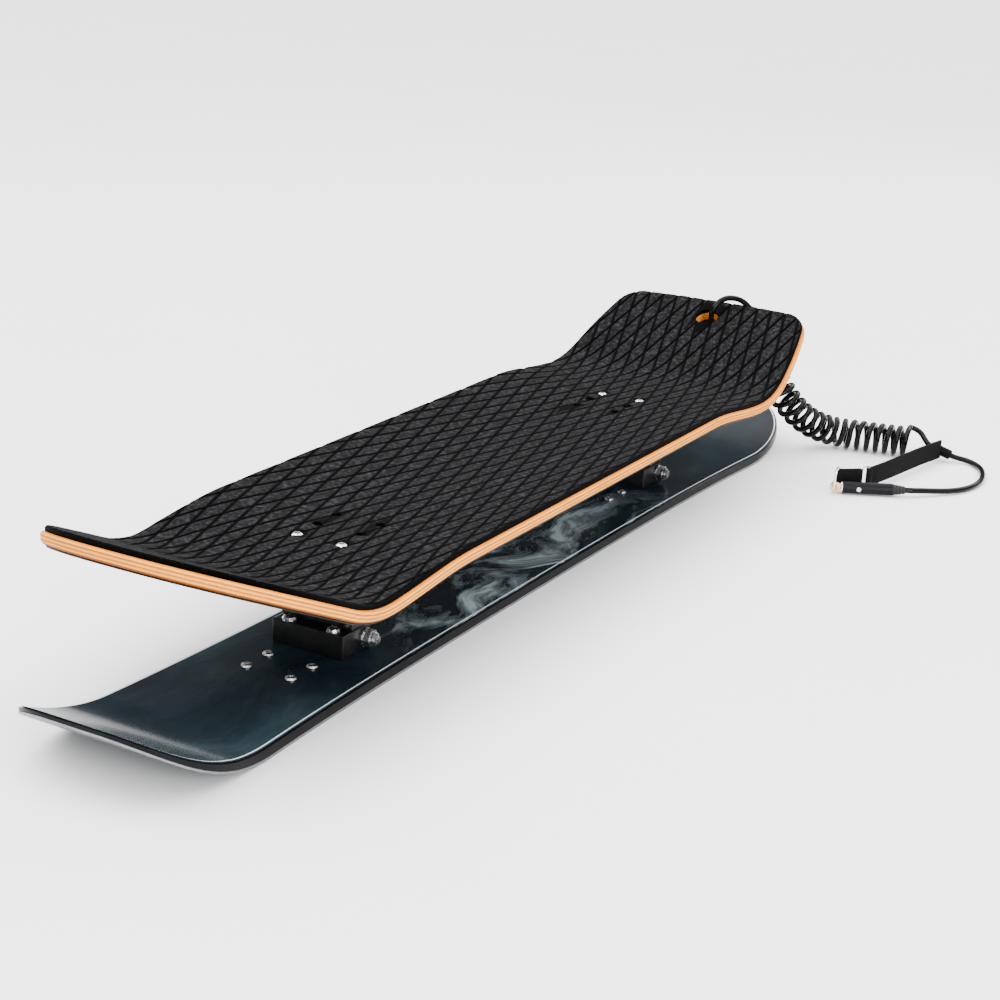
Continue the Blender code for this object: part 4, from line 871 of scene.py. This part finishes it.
def rounded(edge, radius, top, bottom):
    """A plate's profile with both edges rounded."""
    upper, lower = [], []
    for step in range(5):
        turn = math.pi / 2 * step / 4
        inset = edge + radius * (1 - math.sin(turn))
        drop = radius * (1 - math.cos(turn))
        upper.append((inset, top - drop))
        lower.append((inset, bottom + drop))
    return upper + lower[::-1]


def tail_normal():
    return Vector((0, -math.sin(TAIL_ANGLE), math.cos(TAIL_ANGLE)))


def drills(rows, low, high, radius):
    """Upright rods at both bolt columns in each row."""
    return [((side * BOLT_X, y, low), (side * BOLT_X, y, high), radius) for y in rows for side in (-1, 1)]


def spare_rows():
    front = [DECK_ROW_FRONT + DECK_HOLE_PITCH * step for step in (1, 2)]
    return front + [DECK_ROW_REAR - DECK_HOLE_PITCH * step for step in (1, 2)]


def rods(name, spans, sides=32):
    shape = bmesh.new()
    for start, end, radius in spans:
        put_rod(shape, start, end, radius, sides)
    return from_bmesh(shape, name)


def leash_hole():
    middle = Vector((0, LEASH_HOLE_Y, deck_top(0, LEASH_HOLE_Y)))
    reach = tail_normal() * DRILL_REACH
    return rods("leash_hole", [(middle - reach, middle + reach, LEASH_HOLE_DIAMETER / 2)], 48)


def mark_hole_plies(core):
    """Gives the wall of the leash hole its depth in the attribute ply."""
    middle = Vector((0, LEASH_HOLE_Y, deck_top(0, LEASH_HOLE_Y)))
    depths = core.data.attributes["ply"].data
    for vert in core.data.vertices:
        away = vert.co - middle
        depth = -away.dot(tail_normal())
        if (away + tail_normal() * depth).length < LEASH_HOLE_DIAMETER / 2 + GAP:
            depths[vert.index].value = depth / CORE_THICKNESS


def make_wood():
    low, high = DECK_UNDERSIDE - DRILL_BELOW, DECK_TOP + DRILL_ABOVE
    core = plate("deck_wood", rounded(0.0, CORE_ROUND, 0.0, -CORE_THICKNESS), deck_grid, on_deck)
    bolts = drills([DECK_ROW_FRONT, DECK_ROW_REAR, *spare_rows()], low, high, DECK_BOLT_DIAMETER / 2 + GAP)
    seats = drills([DECK_ROW_FRONT, DECK_ROW_REAR], DECK_TOP, high, DECK_BOLT_HEAD / 2 + GAP)
    cut(core, rods("bolt_holes", bolts), rods("head_seats", seats), leash_hole())
    mark_hole_plies(core)
    new_piece(core, "maple", "deck_core")
    top = -CORE_THICKNESS - GAP
    sides = rounded(VENEER_INSET, 0.0004, top, top - VENEER_THICKNESS)
    veneer = plate("deck_black_ply", sides, deck_grid, on_deck)
    cut(veneer, rods("ply_bolt_holes", bolts), leash_hole())
    new_piece(veneer, "black_ply", "deck_bottom_veneer")


# Foam

def clip(polygon, point, inward):
    """Keeps the part of a convex polygon on the inward side of a line."""
    kept = []
    for index, end in enumerate(polygon):
        start = polygon[index - 1]
        before = (start - point).dot(inward)
        after = (end - point).dot(inward)
        if (before >= 0) != (after >= 0):
            kept.append(start.lerp(end, before / (before - after)))
        if after >= 0:
            kept.append(end)
    return kept


def inward_of(start, end):
    """Unit vector to the left of an edge of an outline that runs anticlockwise."""
    along = (end - start).normalized()
    return Vector((-along.y, along.x))


def area_of(polygon):
    total = 0.0
    for index, end in enumerate(polygon):
        start = polygon[index - 1]
        total += start.x * end.y - end.x * start.y
    return total / 2


def shrunk(polygon, distance):
    out = list(polygon)
    for index, end in enumerate(polygon):
        start = polygon[index - 1]
        if (end - start).length < 1e-6:
            continue
        inward = inward_of(start, end)
        out = clip(out, start + inward * distance, inward)
        if len(out) < 3:
            return []
    return out


def cell_on(outline, across, along):
    """The corners of a diamond of the pattern, clipped to the outline, or nothing."""
    centre = Vector((CELL_PHASE[0] + across * CELL_HALF_WIDTH, CELL_PHASE[1] + along * CELL_HALF_LENGTH))
    if not DECK_NOSE_Y - PAD_MARGIN < centre.y < DECK_TAIL_Y + PAD_MARGIN:
        return []
    cell = [centre + Vector(corner) for corner in ((CELL_HALF_WIDTH, 0), (0, CELL_HALF_LENGTH),
                                                   (-CELL_HALF_WIDTH, 0), (0, -CELL_HALF_LENGTH))]
    for index, end in enumerate(outline):
        start = outline[index - 1]
        if min((start - centre).length, (end - centre).length) < 2 * CELL_HALF_LENGTH:
            cell = clip(cell, start, inward_of(start, end))
        if len(cell) < 3:
            return []
    return cell if area_of(cell) >= SMALLEST_PAD else []


def put_pad(shape, cell, rise):
    """A diamond with steep sides and a sloped shoulder, as the hull of its outlines."""
    levels = ((PAD_DRAW, -PAD_SINK), (PAD_DRAW, 0.0),
              (GROOVE_HALF_WIDTH * PAD_SHOULDER[0], rise * PAD_SHOULDER[1]), (GROOVE_HALF_WIDTH, rise))
    points = []
    for draw, lift in levels:
        points += [(point.x, point.y, lift) for point in shrunk(cell, draw)]
    if len(points) < 9:
        return
    hull = bmesh.ops.convex_hull(shape, input=[shape.verts.new(point) for point in points])
    loose = [item for item in hull["geom_interior"] if isinstance(item, bmesh.types.BMVert)]
    bmesh.ops.delete(shape, geom=loose, context="VERTS")


def make_pads(outline):
    """Raised diamonds on the flat plan, then cut into short lengths and bent onto the deck."""
    rise = FOAM_THICKNESS - GROOVE_FLOOR
    columns = math.ceil(DECK_REAR_WIDTH / 2 / CELL_HALF_WIDTH) + 1
    rows = math.ceil((DECK_TAIL_Y - DECK_NOSE_Y) / 2 / CELL_HALF_LENGTH) + 2
    shape = bmesh.new()
    for across in range(-columns, columns + 1):
        for along in range(-rows, rows + 1):
            if (across + along) % 2:
                continue
            cell = cell_on(outline, across, along)
            if cell:
                put_pad(shape, cell, rise)
    bmesh.ops.dissolve_limit(shape, angle_limit=0.01, verts=shape.verts, edges=shape.edges)
    nose_reach = NOSE_BEND_Y - BEND_RADIUS * math.sin(NOSE_ANGLE)
    tail_reach = TAIL_BEND_Y + BEND_RADIUS * math.sin(TAIL_ANGLE)
    for y in spread(nose_reach, CONCAVE_FRONT[1], 20) + spread(CONCAVE_REAR[0], tail_reach, 22):
        everything = [*shape.verts, *shape.edges, *shape.faces]
        bmesh.ops.bisect_plane(shape, geom=everything, plane_co=(0, y, 0), plane_no=(0, 1, 0))
    # The attribute height, from the groove floor up to the pad tops, sets where the foam's material paints
    # shade into the grooves.
    height = shape.verts.layers.float.new("height")
    for vert in shape.verts:
        vert[height] = max(0.0, vert.co.z / rise)
        vert.co = on_deck(vert.co.x, vert.co.y, GAP + GROOVE_FLOOR + vert.co.z)
    bmesh.ops.recalc_face_normals(shape, faces=shape.faces)
    return from_bmesh(shape, "foam_pads", 50)


def make_foam():
    edge = FOAM_INSET
    floor = GAP + GROOVE_FLOOR
    profile = [(edge + FOAM_ROUND, floor), (edge + FOAM_ROUND / 3, floor - FOAM_ROUND / 6),
               (edge, floor - FOAM_ROUND * 2 / 3), (edge, GAP)]
    foam = plate("foam_sheet", profile, deck_grid, on_deck)
    outline = [Vector(point) for point in rim_of(deck_grid(edge + 0.0002, 20))]
    pads = make_pads(outline)
    low, high = DECK_TOP - FOAM_DRILL_BELOW, DECK_TOP + DRILL_ABOVE
    holes = drills([DECK_ROW_FRONT, DECK_ROW_REAR], low, high, DECK_BOLT_HEAD / 2 + GAP)
    holes += drills(spare_rows(), low, high, FOAM_SPARE_HOLE / 2)
    cut(foam, rods("foam_holes", holes), leash_hole())
    cut(pads, rods("pad_holes", holes), leash_hole())
    # The sheet has no pad height of its own, so once joined it reads 0 and takes the painted groove shade.
    join(foam, pads)
    foam.name = "foam_diamonds"
    new_piece(foam, "foam", "foam_grip")


# Leash

def point_at(points, along):
    gone = 0.0
    for start, end in zip(points, points[1:]):
        step = (end - start).length
        if gone + step >= along or end is points[-1]:
            return start.lerp(end, (along - gone) / step), (end - start).normalized()
        gone += step


def coil_points():
    """Centre line of the coil: a helix about a curved axis, closer wound towards the ground."""
    axis = smooth_route(COIL_AXIS, AXIS_SPACING)
    whole = sum((end - start).length for start, end in zip(axis, axis[1:]))
    count = round(COIL_TURNS * COIL_POINTS_A_TURN)
    c = COIL_CROWDING
    points = []
    for index in range(count + 1):
        share = index / count
        crowded = (math.sqrt(1 + 4 * c * (1 + c) * share) - 1) / (2 * c)
        centre, direction = point_at(axis, crowded * whole)
        away = Vector((0, 0, 1)).cross(direction).normalized()
        over = direction.cross(away)
        angle = math.pi / 2 + 2 * math.pi * COIL_TURNS * (1 - share)
        points.append(centre + COIL_RADIUS * (math.cos(angle) * away + math.sin(angle) * over))
    return points


def end_heading(points):
    """Direction in which a curve leaves its first point, away from the next two."""
    return (3 * points[0] - 4 * points[1] + points[2]).normalized()


def stopper_top():
    top = Vector((0, LEASH_HOLE_Y, deck_top(0, LEASH_HOLE_Y)))
    return top - tail_normal() * (DECK_THICKNESS + GAP)


def smooth_curve(name, points, diameter):
    """A tube on one smooth spline through the points."""
    curve = bpy.data.curves.new(name, "CURVE")
    curve.dimensions = "3D"
    curve.bevel_depth = diameter / 2
    curve.bevel_resolution = 4
    curve.resolution_u = 3
    curve.use_fill_caps = True
    spline = curve.splines.new("BEZIER")
    spline.bezier_points.add(len(points) - 1)
    for index, (target, point) in enumerate(zip(spline.bezier_points, points)):
        before = points[max(0, index - 1)]
        after = points[min(len(points) - 1, index + 1)]
        heading = (after - before).normalized()
        target.handle_left_type = target.handle_right_type = "FREE"
        target.co = point
        target.handle_left = point - heading * (point - before).length / HANDLE_DIVISOR
        target.handle_right = point + heading * (after - point).length / HANDLE_DIVISOR
    return add_object(name, curve)


def ribbon(name, route, swells, low, high):
    """Webbing on its edge along a route, thicker where it folds round the bars at the swells."""
    points = even_points([Vector((x, y, 0)) for x, y, _ in route], RIBBON_SPACING)
    headings = []
    for index in range(len(points)):
        before, after = points[max(0, index - 1)], points[min(len(points) - 1, index + 1)]
        headings.append((after - before).normalized())
    ends = (points[0], points[-1])

    def half_at(point):
        near = min((point - swell).length for swell in swells)
        half = FOLD_HALF + (BAND_HALF - FOLD_HALF) * smoothstep(SWELL_START, SWELL_END, near)
        tip = min((point - end).length for end in ends) / FOLD_HALF
        if tip >= 1:
            return half
        return max(THINNEST_END, half * math.sqrt(max(0.02, 2 * tip - tip ** 2)))

    def loop_at(inset, height):
        left, right = [], []
        for point, heading in zip(points, headings):
            side = Vector((-heading.y, heading.x, 0)) * max(THINNEST_BAND, half_at(point) - inset)
            rise = Vector((0, 0, height))
            left.append(shape.verts.new(point + side + rise))
            right.append(shape.verts.new(point - side + rise))
        return left, right

    shape = bmesh.new()
    levels = [loop_at(inset, height) for inset, height in (
        (BAND_ROUND, low), (BAND_ROUND * 0.3, low + BAND_ROUND * 0.3), (0, low + BAND_ROUND),
        (0, high - BAND_ROUND), (BAND_ROUND * 0.3, high - BAND_ROUND * 0.3), (BAND_ROUND, high))]
    for left, right in (levels[0], levels[-1]):
        for index in range(len(points) - 1):
            shape.faces.new((left[index], left[index + 1], right[index + 1], right[index]))
    bridge(shape, [left + right[::-1] for left, right in levels])
    bmesh.ops.recalc_face_normals(shape, faces=shape.faces)
    return from_bmesh(shape, name, 50)


def bar_holes(name, bars):
    return rods(name, [((bar.x, bar.y, 0), (bar.x, bar.y, BAR_DRILL_TOP), RING_WIRE + GAP) for bar in bars])


def stitch(item, bar, toward, low, high):
    """Two rows of thread across the doubled webbing, on both of its faces."""
    ahead = (toward - bar).normalized()
    side = Vector((-ahead.y, ahead.x, 0))
    shape = bmesh.new()
    for row in STITCH_ROWS:
        for face in (-1, 1):
            foot = bar + ahead * row + side * face * BAND_HALF
            for height in spread(low + STITCH_MARGIN, high - STITCH_MARGIN, STITCHES_A_ROW):
                start = foot + Vector((0, 0, height))
                put_rod(shape, start, start + Vector((0, 0, STITCH_LENGTH)), THREAD_RADIUS, 8)
    join(item, from_bmesh(shape, item.name + "_thread", 40))


def make_strap():
    """The strap with the loop that it folds round the cord, and the tab between its two rings."""
    past = FOLD_HALF
    ahead = (TAB_END - TAB_START).normalized()
    tab = ribbon("leash_tab_webbing", [TAB_START - ahead * past, TAB_END + ahead * past],
                 (TAB_START, TAB_END), TAB_BOTTOM, BAND_TOP)
    cut(tab, bar_holes("tab_holes", (TAB_START, TAB_END)))
    first, second = Vector(STRAP_ROUTE[0]), Vector(STRAP_ROUTE[1])
    along = (STRAP_LOOP_END - STRAP_LOOP_START).normalized()
    start = first - (second - first).normalized() * past
    strap = ribbon("leash_strap_webbing", smooth_route([start, *STRAP_ROUTE[1:]], STRAP_SPACING), (first,),
                   STRAP_BOTTOM, BAND_TOP)
    radius = CORD_DIAMETER / 2 + 2 * GAP
    shape = bmesh.new()
    put_rod(shape, STRAP_LOOP_START, STRAP_LOOP_END, radius + LOOP_WALL, 40)
    bmesh.ops.bevel(shape, geom=[edge for edge in shape.edges if edge.calc_face_angle(0) > 1],
                    offset=LOOP_ROUND, segments=3, affect="EDGES")
    fold = from_bmesh(shape, "strap_fold", 50)
    reach = along * DRILL_REACH
    bore = [(STRAP_LOOP_START - reach, STRAP_LOOP_END + reach, radius)]
    cut(fold, rods("fold_bore", bore))
    cut(strap, rods("strap_bore", bore), bar_holes("strap_holes", (first,)))
    join(strap, fold)
    stitch(strap, first, second, STRAP_BOTTOM, BAND_TOP)
    stitch(strap, Vector(STRAP_ROUTE[-1]), Vector(STRAP_ROUTE[-2]), STRAP_BOTTOM, BAND_TOP)
    return [new_piece(tab, "webbing", "leash_tab"),
            new_piece(strap, "webbing", "leash_strap")]


def make_cord(webbing):
    coil = coil_points()
    run = CORD_DIAMETER
    back, onward = end_heading(coil[:3]), end_heading(coil[:-4:-1])
    start = stopper_top() + tail_normal() * GAP + Vector((LEAD_OFFSET, 0, 0))
    end = CONNECTOR_START + SLEEVE_AXIS * (SLEEVE_LENGTH + 2 * GAP + RELIEF_LENGTH)
    lead = smooth_route([start, start + tail_normal() * run, *LEAD_ROUTE, coil[0] + back * run],
                        LEAD_SPACING)
    loop = [STRAP_LOOP_START.lerp(STRAP_LOOP_END, share / 3) for share in range(4)]
    noose = smooth_route([coil[-1] + onward * run, *NOOSE_RISE, *loop, *NOOSE_SWEEP,
                          end + SLEEVE_AXIS * run, end], NOOSE_SPACING)
    cord = smooth_curve("leash_cord", [*lead, *coil, *noose], CORD_DIAMETER)
    new_piece(cord, "cord", "leash_lead", "leash_coil", "leash_noose_cord")


# Carried-over nodes

def dress_nodes():
    for part in frame["record"]["subparts"]:
        dress(NODES[part["node"]], part["material_slot"])


# Stage

def make_stage():
    floor = bmesh.new()
    bmesh.ops.create_grid(floor, x_segments=1, y_segments=1, size=FLOOR_HALF)
    floor = from_bmesh(floor, "floor")
    floor.location.z = -FLOOR_DROP
    look, tree, where = start_look("floor", Specular_IOR_Level=0.2)
    shade = ramp(tree, noise(tree, where, 3.0, 2.0), (0.3, 0.93), (0.7, 0.95))
    rough = ramp(tree, noise(tree, where, 40.0), (0.3, 0.55), (0.7, 0.6))
    floor.data.materials.append(finish(look, shade, rough, None))
    world = bpy.data.worlds.new("studio")
    world.use_nodes = True
    tree = world.node_tree
    height = put(tree, "SeparateXYZ", {0: put(tree, "TexCoord").outputs["Generated"]}).outputs["Z"]
    shade = ramp(tree, height, (0.0, 0.03), (0.40, 0.05), (0.62, 0.9), (0.85, 1.0))
    back = tree.nodes["Background"]
    tree.links.new(shade, back.inputs["Color"])
    back.inputs["Strength"].default_value = WORLD_STRENGTH
    bpy.context.scene.world = world
    for name, where, aim, size, power in LAMPS:
        lamp = bpy.data.lights.new(name, "AREA")
        lamp.shape = "SQUARE"
        lamp.size = size
        lamp.energy = power
        item = add_object(name, lamp)
        item.location = where
        item.rotation_euler = (Vector(aim) - Vector(where)).to_track_quat("-Z", "Y").to_euler()


def make_camera():
    data = bpy.data.cameras.new("camera")
    data.lens = CAMERA_LENS
    data.sensor_width = SENSOR_WIDTH
    data.clip_start, data.clip_end = CLIP_NEAR_AND_FAR
    camera = add_object("camera", data)
    heading, tilt, roll = CAMERA_TURNS
    turn = Matrix.Rotation(heading, 4, "Z") @ Matrix.Rotation(tilt, 4, "X") @ Matrix.Rotation(roll, 4, "Z")
    camera.matrix_world = Matrix.Translation(CAMERA_AT) @ turn
    bpy.context.scene.camera = camera


make_camera()
make_stage()
dress_nodes()
make_ski()
make_wood()
make_foam()
make_cord(make_strap())

bpy.context.view_layer.update()
